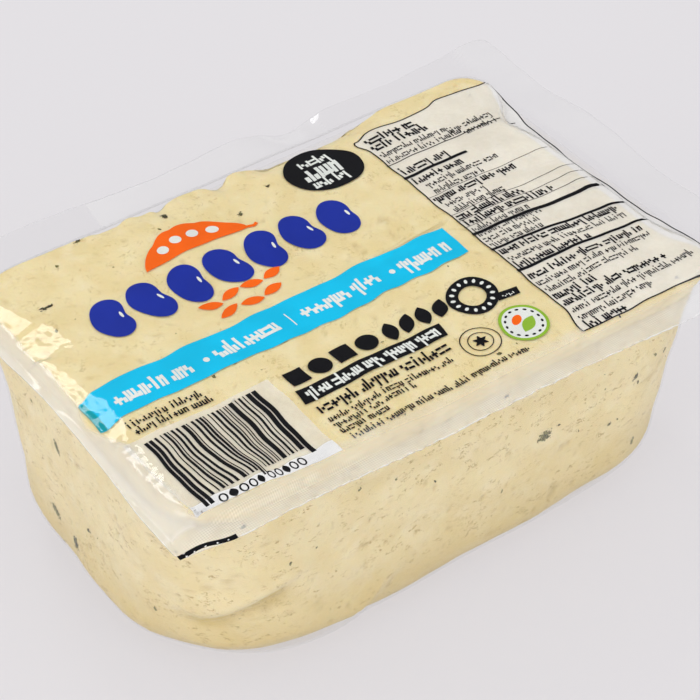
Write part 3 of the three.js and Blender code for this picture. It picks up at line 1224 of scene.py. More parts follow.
@dataclass
class HerbFlecks:
    """Scraps of dried herb pressed into the curd's skin."""

    block: TofuBlock
    effects: Effects
    outside: float = 100.0
    strewn: int = 80
    longest_strewn: float = 1.7
    thickness: float = 0.08
    half_scale: float = 0.58
    grid: int = 7
    seed: int = 7
    placed: tuple[tuple[Side, tuple[tuple[float, ...], ...]], ...] = (
        (Side.TOP, (
            (-17.8, 34.7, 2.1, 1.5, 0.6, 0.1), (-50.0, 24.8, 2.7, 0.9, 0.1, 0.0),
            (-35.4, 38.0, 1.7, 0.7, 0.3, 0.5), (-6.3, 26.4, 1.4, 0.9, 1.2, 0.4),
            (3.1, 30.7, 1.2, 0.8, 0.4, 0.5), (-51.7, 18.2, 1.3, 0.5, 1.3, 0.9),
            (-35.9, -8.6, 1.3, 0.8, 0.9, 0.6),
        )),
        (Side.FRONT, (
            (16.3, 28.4, 2.8, 2.4, 0.5, 0.7), (19.4, 29.4, 0.8, 0.7, 0.0, 0.4),
            (32.4, 22.6, 1.0, 0.7, 0.8, 0.5), (37.9, 31.5, 1.6, 0.9, 1.1, 0.5),
            (40.0, 13.2, 1.4, 0.8, 1.3, 1.0), (45.8, 33.4, 1.0, 0.6, 1.2, 0.4),
        )),
        (Side.LEFT, (
            (-9.2, 15.0, 3.1, 1.9, 1.9, 0.9), (-2.5, 12.3, 2.9, 1.6, 2.0, 0.5),
            (-6.0, 34.1, 3.0, 1.0, 2.0, 0.9),
        )),
    )

    def flecks(self) -> list[Fleck]:
        """The placed flecks and seeded small ones, most of them mere specks."""
        rng = np.random.default_rng(self.seed)
        sides = list(Side)
        small = []
        for _ in range(self.strewn):
            side = sides[rng.choice(5, p=[0.36, 0.2, 0.12, 0.12, 0.2])]
            reach = 36.0 if side in (Side.LEFT, Side.RIGHT) else 56.0
            along = rng.uniform(-reach, reach)
            across = rng.uniform(-36, 36) if side is Side.TOP else rng.uniform(4, 44)
            length = 0.3 + 0.34 * rng.exponential()
            width = length * rng.uniform(0.35, 0.8)
            turn, tint = rng.uniform(0, math.pi), rng.uniform(0.3, 1.1)
            length = min(length, self.longest_strewn)
            small.append(Fleck(side, along, across, length, width, turn, tint))
        placed = [Fleck(side, *values) for side, rows in self.placed for values in rows]
        return [*placed, *small]

    def build(self, finish: HerbFinish) -> None:
        """Lays each fleck on the curd where a ray from outside meets it.

        A fleck is a thin slab over a square grid that is bent into a ragged oval by
        noise, turned in the curd's tangent plane.

        Args:
            finish: The herb's finish.
        """
        mesh = self.block.object.data
        faces = [polygon.vertices for polygon in mesh.polygons]
        tree = BVHTree.FromPolygons([vertex.co for vertex in mesh.vertices], faces)
        u, v = disc_grid(self.grid)
        from_middle = np.abs(np.linspace(-1, 1, self.grid))
        rim = np.maximum.outer(from_middle, from_middle).ravel()
        parts, tints = [], []
        for number, fleck in enumerate(self.flecks()):
            hit, normal = self._meet(tree, fleck)
            if hit is None:
                continue
            level = Vector((0.0, 0.0, 1.0)) if abs(normal.z) < 0.9 else Vector((0.0, 1.0, 0.0))
            turned = Matrix.Rotation(fleck.turn, 3, normal) @ normal.cross(level).normalized()
            frame_of = np.array([turned, normal.cross(turned), normal])
            flat = np.stack([u, v, np.full_like(u, number * 7.3)], -1)
            ragged_u, ragged_v = (1 + 0.45 * lattice_noise(flat, 0.6, seed)
                                  for seed in (Seed.FLECK_LENGTH, Seed.FLECK_WIDTH))
            local = np.stack([
                u * ragged_u * fleck.length * self.half_scale,
                v * ragged_v * fleck.width * self.half_scale,
                np.full_like(u, self.thickness * 0.8),
            ], -1)
            piece = slab(local, self.thickness, False)
            piece.vertices = piece.vertices @ frame_of + np.array(hit) / MM
            parts.append(piece)
            tints.append(np.full(len(piece.vertices), fleck.tint))
        made = MeshParts.joined(parts).write("herb_flecks", finish.material(self.effects))
        store(made, "tint", np.concatenate(tints))
        store(made, "rim", np.tile(rim, 2 * len(parts)))
        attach(made, BODY)
        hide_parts(POCKET_NODE)

    def _meet(self, tree: BVHTree, fleck: Fleck) -> tuple[Vector | None, Vector | None]:
        """Where a ray along the side's way in first meets the curd, with its normal."""
        way, along, across = (Vector(direction) for direction in fleck.side.value)
        start = along * fleck.along + across * fleck.across - way * self.outside
        hit, normal, _, _ = tree.ray_cast(start * MM, way)
        return hit, normal


# ---- the clear pocket ----------------------------------------------------------------


@dataclass
class PocketFilm:
    """The deep-drawn clear pocket, a thin closed skin tight round the curd."""

    form: PackForm
    effects: Effects
    steps: Steps = Steps(120, 76, 18)
    skin: float = 0.14
    rim_height: float = 46.6
    flat_step: float = 3.0
    wall_step: float = 0.9
    wall_haze: float = 0.05
    pleat_height: float = 0.5
    pleat_width: float = 0.5
    pleat_ends: tuple[tuple[float, ...], ...] = (
        (-8.8, 19.4, -1.3, 15.9), (-6.1, 22.2, -1.8, 17.5))

    def rings(self) -> Array:
        """Rings of the outer face, from the underside's middle up to the rim."""
        form, step = self.form, self.wall_step
        wall_z = np.arange(form.base_round + step, self.rim_height, step)
        return form.cup_rings(0.0, self.flat_step, wall_z, self.steps)

    def pleats(self, points: Array) -> Array:
        """Two thin ridges of spare film that run down to the crease at the near corner.

        Each runs between two places, given as the distance round the corner and the
        height: a bell across the line, which swells and dies along it as a half sine.
        """
        x, y, z = np.moveaxis(points, -1, 0)
        round_by = self.form.round_corner(x, y)
        near = smoothstep(-x - y, 62, 74)
        total = np.zeros_like(z)
        for r0, z0, r1, z1 in self.pleat_ends:
            long = math.hypot(r1 - r0, z1 - z0)
            along = ((round_by - r0) * (r1 - r0) + (z - z0) * (z1 - z0)) / long**2
            across = ((round_by - r0) * (z1 - z0) - (z - z0) * (r1 - r0)) / long
            total += bell(across, self.pleat_width) * np.sin(np.pi * np.clip(along, 0, 1)) ** 0.5
        return self.pleat_height * near * total

    def build(self, finish: FilmFinish) -> None:
        """Builds the skin: the outer face, then the same rings a skin's thickness inside.

        Args:
            finish: The film's finish.
        """
        outer = self.rings()
        normals = grid_normals(outer)
        ground = smoothstep(outer[..., 2], 1.0, 4.0)
        waves = 0.05 * fractal_noise(outer, 6.0, 2, Seed.POCKET_WAVES) * ground
        outer = outer + normals * (waves + self.pleats(outer))[..., None]
        inner = outer - normals * self.skin
        both = np.concatenate([outer, inner[::-1]])
        made = loft(both, 0.0, self.skin).write("pocket_film", finish.material(self.effects))
        store(made, "haze_and_cut_highlight", np.full(len(made.data.vertices), self.wall_haze))
        store(made, "seal", np.zeros(0))
        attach(made, BODY)
        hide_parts(POCKET_NODE)


# ---- the lid film --------------------------------------------------------------------


@dataclass
class LidFilm:
    """The lid film, tight over the curd, with the pocket's rim sealed under its flange."""

    form: PackForm
    effects: Effects
    steps: Steps = Steps(260, 130, 16)
    skin: float = 0.15
    flange_skin: float = 0.26
    middle_step: float = 3.0
    edge_step: float = 0.5
    edge_run: float = 12.0
    flange_shares: tuple[float, ...] = (0.12, 0.25, 0.38, 0.5, 0.62, 0.75, 0.86, 0.95, 1.0)
    flange_haze: float = 0.32
    lead_haze: float = 0.28
    left_haze: float = 0.46
    far_haze: float = 0.11
    far_left_haze: float = 0.34
    # whiteness of the cut edge, partly its own and partly a painted highlight
    cut_white_and_highlight: float = 0.45
    label_foot: tuple[float, float, float] = (-57.2, -34.6, -0.0734)
    label_middle: float = -42.9

    def insets(self) -> Array:
        """Distances of the rings inside the wall, wide apart in the middle and close near it."""
        middle = np.arange(self.form.middle_inset, self.edge_run, -self.middle_step)
        return np.concatenate([middle, np.arange(self.edge_run, -0.01, -self.edge_step)])

    def plan(self) -> tuple[Array, Array]:
        """Plan rings from the middle to the free edge, with each ring's flange share."""
        wall = self.form.lid_ring(0.0, self.steps)
        edge = self.form.trimmed_edge(self.steps)[:, :2]
        over = [self.form.lid_ring(inset, self.steps) for inset in self.insets()]
        out = [lerp(wall, edge, share) for share in self.flange_shares]
        shares = np.array([0.0] * len(over) + list(self.flange_shares))
        return np.stack([*over, *out]), shares

    def hazes_and_highlight(self, x: Array, y: Array, share: Array) -> tuple[Array, Array]:
        """How milky the film is, and where the sealing bar has knurled it.

        It is milky on the front band, less so on the strip that leads up to it, on the
        left edge and on the far flange, and clear over the label and the facts panel.
        The cut edge is whiter in broken lengths: partly the cut's own whiteness, partly a painted
        highlight.

        Args:
            x: Places along the block.
            y: Places across it.
            share: Share of the way from the wall to the free edge.

        Returns:
            The haze, with the painted highlight along the cut edge, and the seal mask, both from 0
            to 1.
        """
        inset = self.form.walls.inset_at(x, y)
        past_seal = self.form.seal_line(x) - y
        front = smoothstep(past_seal, -0.9, 0.4)
        near = smoothstep(-y, 9, 16)
        milky_from = 58.2 - 1.3 * near + 1.6 * bell(y + 5, 4.0) + 0.25 * np.sin(0.5 * y)
        left = smoothstep(-x - milky_from, -0.1 - 0.5 * near, 0.9 + 0.4 * near) * (1 - front)
        other = smoothstep(-inset, -0.8, 1.0) * (1 - front) * (1 - left)
        lead = smoothstep(past_seal, -3.4, -1.2) * (1 - front) * (1 - left)
        far = lerp(self.far_haze, self.far_left_haze, smoothstep(-x, 10, 50))
        level = lerp(self.flange_haze, 0.75 * self.left_haze, smoothstep(-x, 53, 59)) * front
        level = level + self.left_haze * left + far * other + self.lead_haze * lead
        foot_x, foot_y, slope = self.label_foot
        above_foot = y - (foot_y + slope * (x - foot_x))
        on_label = smoothstep(np.abs(x - self.label_middle), 14.6, 14.2)
        on_label = smoothstep(above_foot, -0.3, 0.2) * on_label
        on_panel = smoothstep(y, -38.3, -37.6) * smoothstep(x, 24.2, 25.0)
        on_panel = on_panel * smoothstep(-x, -61.0, -60.4)
        level = level * (1 - np.maximum(on_label, on_panel) * (1 - left))
        seal = smoothstep(past_seal, 0.8, 2.0) * smoothstep(x, -62.5, -60.5)
        broken = smoothstep(lattice_noise(in_plan(x, y), 1.1, Seed.WHITE_CUT), -0.5, 0.5)
        in_front = smoothstep(-y, 36, 40) * smoothstep(x, -54.0, -52.0)
        on_left = 0.8 * smoothstep(-x, 60.0, 61.5) * (1 - smoothstep(-y, 34, 38))
        on_far = 0.8 * smoothstep(y, 41, 44) * smoothstep(-x, -10, 25)
        # painted highlight over the cut's own whiteness: the free edge turns milky white in broken
        # lengths
        cut = smoothstep(share, 0.94, 1.0) * broken * (in_front + on_left + on_far)
        return level + self.cut_white_and_highlight * cut, seal

    def build(self, finish: FilmFinish) -> None:
        """Builds the film: the lower face out to the free edge, then the upper face back.

        Args:
            finish: The film's finish.
        """
        plan, shares = self.plan()
        x, y = plan[..., 0], plan[..., 1]
        share = np.broadcast_to(shares[:, None], x.shape)
        z = self.form.lid_surface(x, y)
        skin = lerp(self.skin, self.flange_skin, smoothstep(share, 0.0, 0.3))
        upper, lower = np.stack([x, y, z], -1), np.stack([x, y, z - skin], -1)
        middle = self.form.middle_height()
        both = np.concatenate([lower, upper[::-1]])
        made = loft(both, middle - self.skin, middle).write(
            "lid_sheet", finish.material(self.effects))
        for name, values in zip(("haze_and_cut_highlight", "seal"), self.hazes_and_highlight(x, y, share)):
            store(made, name, np.concatenate([values, values[::-1]]))
        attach(made, BODY)
        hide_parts(LID_NODE)


# ---- the print -----------------------------------------------------------------------


@dataclass
class Patch:
    """A flat patch of print: grids of x and y, closed where its last column meets its first."""

    x: Array
    y: Array
    closed: bool = False

    def facing_up(self) -> "Patch":
        """The same patch with its rows in the order that makes its face point up."""
        dx_c, dy_c = np.diff(self.x, axis=1)[:-1], np.diff(self.y, axis=1)[:-1]
        dx_r, dy_r = np.diff(self.x, axis=0)[:, :-1], np.diff(self.y, axis=0)[:, :-1]
        if float(np.sum(dx_c * dy_r - dy_c * dx_r)) >= 0:
            return self
        return Patch(self.x[::-1], self.y[::-1], self.closed)


class Shapes:
    """Flat shapes of the print, each a function of two parameters on a grid."""

    step = 1.2

    @classmethod
    def count(cls, length: float) -> int:
        """Points along a length so that no cell is longer than the step."""
        return max(2, int(math.ceil(abs(length) / cls.step)) + 1)

    @classmethod
    def quad(cls, a: Place, b: Place, c: Place, d: Place) -> Patch:
        """Four-sided patch, blended between its corners, given anticlockwise."""
        wide, high = cls.count(math.dist(a, b)), cls.count(math.dist(a, d))
        u, v = np.meshgrid(np.linspace(0, 1, wide), np.linspace(0, 1, high))
        x, y = (
            (1 - v) * ((1 - u) * a[k] + u * b[k]) + v * ((1 - u) * d[k] + u * c[k])
            for k in range(2)
        )
        return Patch(x, y)

    @staticmethod
    def band(x: Array, low: Array, high: Array, rows: int) -> Patch:
        """Band between two curves over x."""
        v = np.linspace(0, 1, rows)[:, None]
        return Patch(x + 0 * v, lerp(low, high, v))

    @staticmethod
    def turned(x: Array, y: Array, cx: float, cy: float, turn: float) -> Patch:
        """Patch about its own middle, turned by degrees and moved to (cx, cy)."""
        c, s = math.cos(math.radians(turn)), math.sin(math.radians(turn))
        return Patch(cx + c * x - s * y, cy + s * x + c * y)

    @classmethod
    def bar(cls, x0: float, x1: float, y0: float, y1: float) -> Patch:
        """Upright rectangle."""
        return cls.quad((x0, y0), (x1, y0), (x1, y1), (x0, y1))

    @staticmethod
    def stroke(points: Array | Sequence[Place], width: float) -> Patch:
        """Line of even width along points, widened along its normals."""
        points = np.asarray(points, float)
        way = np.gradient(points, axis=0)
        way /= np.linalg.norm(way, axis=1, keepdims=True)
        side = np.stack([-way[:, 1], way[:, 0]], -1) * width / 2
        both = np.stack([points - side, points + side])
        return Patch(both[..., 0], both[..., 1])

    @classmethod
    def oval(
        cls, cx: float, cy: float, rx: float, ry: float, turn: float = 0.0, dent: float = 0.0
    ) -> Patch:
        """Filled oval: a square grid drawn into a disc, dented like a bean and turned.

        Args:
            cx: Middle along the lid.
            cy: Middle across it.
            rx: Half the length.
            ry: Half the width.
            turn: Turn in degrees.
            dent: Share of the radius by which its -Y side is drawn in before the turn.

        Returns:
            The patch.
        """
        n = max(7, cls.count(2 * max(rx, ry)), 17 if dent else 0)
        px, py = disc_grid(n)
        shrink = 1 - dent * bell(np.arctan2(py, px) + math.pi / 2, 0.5)
        return cls.turned(rx * px * shrink, ry * py * shrink, cx, cy, turn)

    @staticmethod
    def ring(cx: float, cy: float, rx: float, ry: float, width: float) -> Patch:
        """Oval ring of even width, inside the given radii."""
        angle = np.linspace(0, 2 * np.pi, 49)[:-1]
        inner = np.array([0.0, 1.0])[:, None] * width
        return Patch(cx + (rx - inner) * np.cos(angle), cy + (ry - inner) * np.sin(angle), True)

    @classmethod
    def leaf(cls, cx: float, cy: float, length: float, width: float, turn: float) -> Patch:
        """Pointed leaf: half width (1 - t squared) times half the width along its length."""
        t, v = np.meshgrid(np.linspace(-1, 1, 13), np.array([-1.0, 0.0, 1.0]))
        half_width = width / 2 * (1 - t * t) + 0.04
        return cls.turned(t * length / 2, v * half_width, cx, cy, turn)


@dataclass(frozen=True)
class Dummy:
    """Dummy type: rows of made-up marks that hold the place of words.

    Each mark is a few small bars in a cell that is one pitch wide. Heights are shares
    of the type's full height, and most marks stay under its middle height.
    """

    height: float
    pitch: float
    weight: float

    MARKS = (
        ((0.00, 0.28, 0.00, 0.66), (0.54, 0.82, 0.00, 0.66), (0.28, 0.54, 0.50, 0.66)),
        ((0.00, 0.82, 0.48, 0.66), (0.00, 0.82, 0.00, 0.18)),
        ((0.00, 0.28, 0.00, 0.66), (0.50, 0.82, 0.22, 0.46)),
        ((0.54, 0.82, 0.00, 0.66), (0.00, 0.34, 0.00, 0.30)),
        ((0.00, 0.82, 0.24, 0.42), (0.27, 0.55, 0.42, 0.66), (0.27, 0.55, 0.00, 0.24)),
        ((0.00, 0.28, 0.00, 1.00), (0.50, 0.82, 0.00, 0.40)),
        ((0.54, 0.82, -0.28, 0.66), (0.00, 0.32, 0.34, 0.66)),
        ((0.00, 0.36, 0.36, 0.66), (0.46, 0.82, 0.00, 0.34)),
        ((0.20, 0.50, 0.00, 0.66), (0.20, 0.50, 0.82, 1.00)),
        ((0.00, 0.82, 0.00, 0.18), (0.00, 0.28, 0.18, 0.66), (0.54, 0.82, 0.18, 0.66)),
    )

    def row(
        self, x0: float, x1: float, y: float, rng: np.random.Generator, skew: float = 0.0
    ) -> list[Patch]:
        """One row of marks in words of seeded lengths.

        Args:
            x0: Where the row starts.
            x1: Where it ends.
            y: Its foot at x0.
            rng: Source of the word lengths and marks.
            skew: Rise of the row for each millimetre along it.

        Returns:
            One patch for each bar.
        """
        blocks, x = [], x0
        while x < x1 - self.pitch:
            for _ in range(rng.integers(3, 10)):
                if x > x1 - self.pitch:
                    break
                for u0, u1, v0, v1 in self.MARKS[rng.integers(len(self.MARKS))]:
                    across, up = (u0 + u1) / 2, (v0 + v1) / 2
                    half_u, half_v = self.weight * (u1 - u0) / 2, self.weight * (v1 - v0) / 2
                    foot = y + skew * (x - x0)
                    blocks.append(Shapes.bar(
                        x + self.pitch * (across - half_u), x + self.pitch * (across + half_u),
                        foot + self.height * (up - half_v), foot + self.height * (up + half_v),
                    ))
                x += self.pitch
            x += 0.6 * self.pitch
        return blocks


@dataclass(frozen=True)
class PanelBlock:
    """Rows of the facts panel that are set alike, and the rules under them."""

    top: float
    pitch: float
    type: Dummy
    ends: tuple[float, ...]
    bold_rows: tuple[int, ...] = ()
    indents: tuple[float, ...] = ()
    thin_rules: tuple[int, ...] = ()
    rule: float = 0.0
    rule_reach: float = 1.0


@dataclass
class LidPrint:
    """The print under the lid film: plain fields, dummy type and a motif of beans and leaves."""

    form: PackForm
    effects: Effects
    seed: int = 19
    thickness: float = 0.008
    field_depth: float = 0.2
    mark_depth: float = 0.17

    BOLD = Dummy(1.95, 1.05, 1.25)
    BOOK = Dummy(1.8, 0.86, 1.0)
    LABEL = ((-57.2, -34.6), (-28.6, -36.7), (-28.9, -15.1), (-58.2, -14.0))
    LABEL_FIGURES = (-51.9, -50.2, -48.5, -46.8, -45.1, -42.7, -41.0, -39.3, -37.6, -35.9)
    WAIST = ((-37.4, 60.2), (-29.5, 60.4), (-24, 59.6), (-19, 58.9), (-11, 58.3), (-6, 57.9),
             (1, 57.3), (8, 57.5), (19, 58.3), (26, 59.5), (33.8, 61.0))
    POD = (-30.2, -7.2)
    SPRIG = ((-25.9, 7.6, -20), (-21.2, 8.1, 14), (-16.4, 8.1, -14), (-11.6, 8.6, 20),
             (-23.8, 4.4, 18), (-18.9, 4.0, -12), (-14.1, 4.6, 16))

    def place(self, x: Array, y: Array) -> tuple[Array, Array]:
        """Where a printed point comes to lie on the stretched film.

        Slow waves shift it by a tenth of a millimetre or two, a bulge near the front
        left corner pushes the bars to the right, and the facts panel droops to the right.

        Args:
            x: Printed place along the lid.
            y: Printed place across it.

        Returns:
            The shifted places.
        """
        shift_x = 0.14 * np.sin(0.42 * y + 0.06 * x) + 0.08 * np.sin(0.17 * x - 0.9 * y)
        shift_y = 0.14 * np.sin(0.36 * x + 0.05 * y + 1.0) + 0.07 * np.sin(0.83 * x + 0.4)
        bulge = smoothstep(-y, 22, 32) * bell(x + 46.5, 5.5)
        droop = 2.3 * bell(y + 11, 9) * smoothstep(x, 27, 56)
        return x + shift_x + 1.5 * bulge, y + shift_y - droop

    def write(self, name: str, ink: Ink, patches: Iterable[Patch], depth: float) -> None:
        """Drapes patches just under the film and writes them as one piece of one ink.

        Args:
            name: Name of the piece.
            ink: Its ink.
            patches: The flat shapes.
            depth: How far below the film's upper face they lie.
        """
        parts = []
        for patch in patches:
            up = patch.facing_up()
            x, y = self.place(up.x, up.y)
            top = np.stack([x, y, self.form.lid_surface(x, y) - depth], -1)
            parts.append(slab(top, self.thickness, up.closed))
        made = MeshParts.joined(parts).write(name, INKS[ink].material(self.effects), smooth=False)
        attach(made, BODY)
        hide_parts(LID_NODE)
        log.info("%s: %d shapes in %s ink", name, len(parts), ink.value)

    def build(self) -> None:
        """Builds every printed piece, the fields first and what lies on them after."""
        rng = np.random.default_rng(self.seed)
        self.ribbon(rng)
        self.bar_label(rng)
        self.facts_panel(rng)
        self.bean_motif()
        self.heading(rng)
        self.badge(rng)
        self.round_marks(rng)
        self.eye_marks(rng)

    def ribbon(self, rng: np.random.Generator) -> None:
        """The long cyan ribbon, painted darker as shade where it turns down at the left, with pale
        dummy type.
        """
        x = np.linspace(-58.75, 21.9, 120)
        low = -8.0 - 0.9 * bell(x + 11, 15) + 0.12 * np.sin(0.9 * x)
        low = low - 0.8 * smoothstep(-x, 54, 58.7)
        high = 0.7 + 0.16 * np.sin(0.5 * x) - 1.5 * smoothstep(-x, 55, 58.7)
        self.write("print_ribbon", Ink.CYAN, [Shapes.band(x, low, high, 13)], self.field_depth)
        # painted shade: the ribbon's turned-down end is printed in a darker copy of its cyan
        end = Shapes.quad((-59.1, -8.75), (-57.6, -8.75), (-57.9, -0.9), (-59.1, -0.9))
        self.write("print_ribbon_shaded_end", Ink.TEAL, [end], self.mark_depth)
        words, bold = [], Dummy(3.1, 1.5, 1.35)
        for start, end_x in ((-53.6, -36.6), (-32.6, -18.6), (-13.8, 5.0), (8.4, 20.6)):
            words += bold.row(start, end_x, -5.4, rng)
        words += [Shapes.oval(x, -4.4, 0.6, 0.6) for x in (-34.6, 6.6)]
        words.append(Shapes.bar(-16.5, -16.25, -6.2, -2.4))
        self.write("print_ribbon_words", Ink.CREAM, words, self.mark_depth)

    def bar_label(self, rng: np.random.Generator) -> None:
        """The pale label: upright bars of seeded widths over a row of dummy type on white."""
        self.write("print_bar_label", Ink.VEIL, [Shapes.quad(*self.LABEL)], self.field_depth)
        ends_x, ends_y = zip(*self.LABEL[:2])
        x = np.linspace(*ends_x, 40)
        low = np.interp(x, ends_x, ends_y)
        high = low + 2.2 + 0.6 * smoothstep(x, -40, -31) + 0.25 * np.sin(0.8 * x)
        foot = Shapes.band(x, low, high, 4)
        self.write("print_label_foot", Ink.SOLID, [foot], self.field_depth - 0.01)
        module, start, end = 0.235, -55.0, -32.3
        bars, x = [], start
        while x < end:
            wide = module * rng.choice([1, 2, 3, 4], p=[0.42, 0.26, 0.18, 0.14])
            guard = x < start + 1.6 or x > end - 1.8 or abs(x - (start + end) / 2) < 0.7
            low, high = -34.0 if guard else -32.4, -15.6 - 0.018 * (x - start)
            bars.append(Shapes.bar(x, x + wide, low, high))
            x += wide + module * rng.choice([1, 2, 3], p=[0.5, 0.32, 0.18])
        marks = []
        for k, x in enumerate(self.LABEL_FIGURES):
            middle = -34.1 - 0.04 * (x + 52)
            ring = Shapes.ring(x, middle, 0.72, 1.0, 0.3)
            marks.append(Shapes.leaf(x, middle, 2.0, 1.3, 90) if k % 3 == 1 else ring)
        small = Dummy(1.8, 1.03, 1.0)
        marks += small.row(-55.0, -39.4, -11.2, rng, -0.01)
        marks += small.row(-54.6, -38.8, -13.2, rng, -0.02)
        self.write("print_bars", Ink.BLACK, [*bars, *marks], self.mark_depth)

    def panel_outline(self) -> Patch:
        """The facts panel: upright at its left, a tip at the far end and a waist at its right."""
        u, v = np.meshgrid(np.linspace(0, 1, 41), np.linspace(0, 1, 80))
        y = lerp(-37.4, 33.8, v)
        left = 25.6 - 1.5 * bell(y - 32.6, 2.2) - 1.0 * smoothstep(-y, 30, 37)
        right = np.interp(y, *zip(*self.WAIST))
        x = lerp(left, right, u)
        top = -1.6 * bell(x - 25, 2.5) + 0.4 * np.sin(0.3 * x) - 0.7 * smoothstep(-x, -47, -44)
        corner = 3.0 * smoothstep(x, 53, 60)
        return Patch(x, y + top * v**6 + corner * (1 - v) ** 6)

    def facts_panel(self, rng: np.random.Generator) -> None:
        """The pale panel at the right end with its frame, rules and rows of dummy type."""
        panel = self.panel_outline()
        self.write("print_panel", Ink.WHITE, [panel], self.field_depth)
        grid = np.stack([panel.x, panel.y], -1)
        ink = [Shapes.stroke(side, 0.28) for side in (grid[0], grid[-1], grid[:, 0], grid[:, -1])]
        left, right, rule_left, rule_right = 26.2, 54.6, 25.3, 56.8
        bold, book = self.BOLD, self.BOOK
        blocks = (
            PanelBlock(31.6, 2.4, Dummy(2.3, 1.25, 1.3), (0.46, 0.5)),
            PanelBlock(26.4, 2.2, book, (0.6, 0.66), rule=0.24),
            PanelBlock(21.4, 4.4, Dummy(2.4, 1.2, 1.15), (0.47,), rule=0.75, rule_reach=0.5),
            PanelBlock(16.1, 2.27, book, (0.46, 0.68, 0.5, 0.72, 0.4, 0.5, 0.58, 0.78, 0.5),
                       (0, 3, 6, 7), (0, 1.4, 1.6, 0, 1.0, 1.0, 0, 0, 0), (2, 5, 6, 7), rule=0.8),
            PanelBlock(-4.1, 1.95, book, (0.54, 0.5, 0.46), rule=0.62),
            PanelBlock(-10.3, 2.4, book, (0.98, 0.96, 0.6), (0, 2), rule=0.75),
            PanelBlock(-18.9, 2.34, book, (0.94, 0.97, 0.8, 0.36, 0.9, 1.06, 0.62, 0.36),
                       (0, 3, 4, 7)),
        )
        for block in blocks:
            for number, reach in enumerate(block.ends):
                kind = bold if number in block.bold_rows else block.type
                indent = block.indents[number] if block.indents else 0.0
                foot = block.top - block.pitch * (number + 0.8)
                ink += kind.row(left + indent, lerp(left, right, reach), foot, rng)
                if number in block.thin_rules:
                    ink.append(self.rule(rule_left, rule_right, foot - 0.32, 0.12))
            if block.rule:
                reach_x = lerp(rule_left, rule_right, block.rule_reach)
                rule_y = block.top - block.pitch * len(block.ends) - 0.1
                ink.append(self.rule(rule_left, reach_x, rule_y, block.rule))
        ink += book.row(42.0, 53.0, 23.4, rng) + book.row(44.5, 53.6, 21.2, rng)
        self.write("print_panel_rows", Ink.BLACK, ink, self.mark_depth)

    @staticmethod
    def rule(x0: float, x1: float, y: float, width: float) -> Patch:
        """A rule along the panel, which drops at its right end."""
        x = np.linspace(x0, x1, 30)
        return Shapes.stroke(np.stack([x, y - 1.1 * smoothstep(x, 52.5, 56.8)], -1), width)

    def bean_motif(self) -> None:
        """A row of blue beans with an orange pod of peas above and leaves below it."""
        xs = np.linspace(-41.9, 8.3, 7)
        turns = (82, 99, 86, 101, 83, 97, 87)
        beans = [Shapes.oval(x, 14.9, 5.6, 3.9, turn, 0.3) for x, turn in zip(xs, turns)]
        self.write("print_beans", Ink.BLUE, beans, self.field_depth)
        eyes = [Shapes.oval(x + 1.9, 14.9, 0.9, 0.28, turn) for x, turn in zip(xs, turns)]
        self.write("print_bean_eyes", Ink.CREAM, eyes, self.mark_depth)
        t, v = np.meshgrid(np.linspace(0, 1, 49), np.linspace(0, 1, 9))
        arch = np.sin(np.pi * t)
        bumps = 0.94 + 0.06 * np.abs(np.sin(4.5 * np.pi * t))
        pod = Patch(lerp(*self.POD, t), 22.1 + lerp(0.8 * arch, 8.4 * arch**0.7 * bumps, v))
        stem = Shapes.stroke([(-7.4, 22.4), (-6.2, 21.9), (-5.3, 22.3)], 0.7)
        leaves = [Shapes.leaf(x, y, 4.6, 2.0, turn) for x, y, turn in self.SPRIG]
        self.write("print_pod", Ink.ORANGE, [pod, stem, *leaves], self.field_depth)
        peas = [Shapes.oval(lerp(*self.POD, s), 22.3 + 4.6 * math.sin(math.pi * s), 1.2, 1.1)
                for s in (0.26, 0.42, 0.58, 0.74)]
        self.write("print_pod_seeds", Ink.CREAM, peas, self.mark_depth)

    def heading(self, rng: np.random.Generator) -> None:
        """The dark heading: a row of plain solid shapes, a label strip and small rows under it."""
        y, shapes = -17.3, []
        for k, x in enumerate(np.linspace(-24.3, -9.0, 4)):
            square = Shapes.bar(x - 1.9, x + 1.9, y - 1.85, y + 1.85)
            shapes.append(square if k % 2 == 0 else Shapes.oval(x, y, 2.2, 2.05))
        for k, x in enumerate(np.linspace(-3.8, 7.6, 4)):
            shapes.append(Shapes.leaf(x, y, 4.8, 3.0, 84 - 22 * (k % 2)))
        strip = Shapes.quad((-27.3, -24.05), (4.15, -23.9), (4.85, -20.5), (-27.0, -20.3))
        rows = Dummy(2.6, 1.35, 1.1).row(-26.2, 3.0, -27.3, rng)
        small = Dummy(1.6, 0.88, 1.0)
        for foot, end in ((-29.9, 1.5), (-31.6, -8.0), (-33.3, -15.5)):
            rows += small.row(-26.0, end, foot, rng)
        rows += small.row(-25.5, 13.8, -35.5, rng)
        self.write("print_heading", Ink.BLACK, [*shapes, strip, *rows], self.field_depth)
        words = Dummy(2.4, 1.25, 1.3).row(-25.8, 3.6, -23.1, rng, 0.004)
        self.write("print_heading_words", Ink.CREAM, words, self.mark_depth)

    def badge(self, rng: np.random.Generator) -> None:
        """The black oval near the far edge, with three rows of pale dummy type."""
        oval = Shapes.oval(14.9, 28.8, 8.1, 6.5, -20)
        self.write("print_badge", Ink.BLACK, [oval], self.field_depth)
        words = Dummy(2.2, 1.35, 1.3).row(11.4, 19.4, 31.4, rng, -0.1)
        words += Dummy(4.2, 2.1, 1.3).row(10.2, 19.8, 27.1, rng, -0.05)
        words += Dummy(2.2, 1.35, 1.3).row(10.6, 18.8, 24.5, rng, -0.05)
        self.write("print_badge_words", Ink.CREAM, words, self.mark_depth)

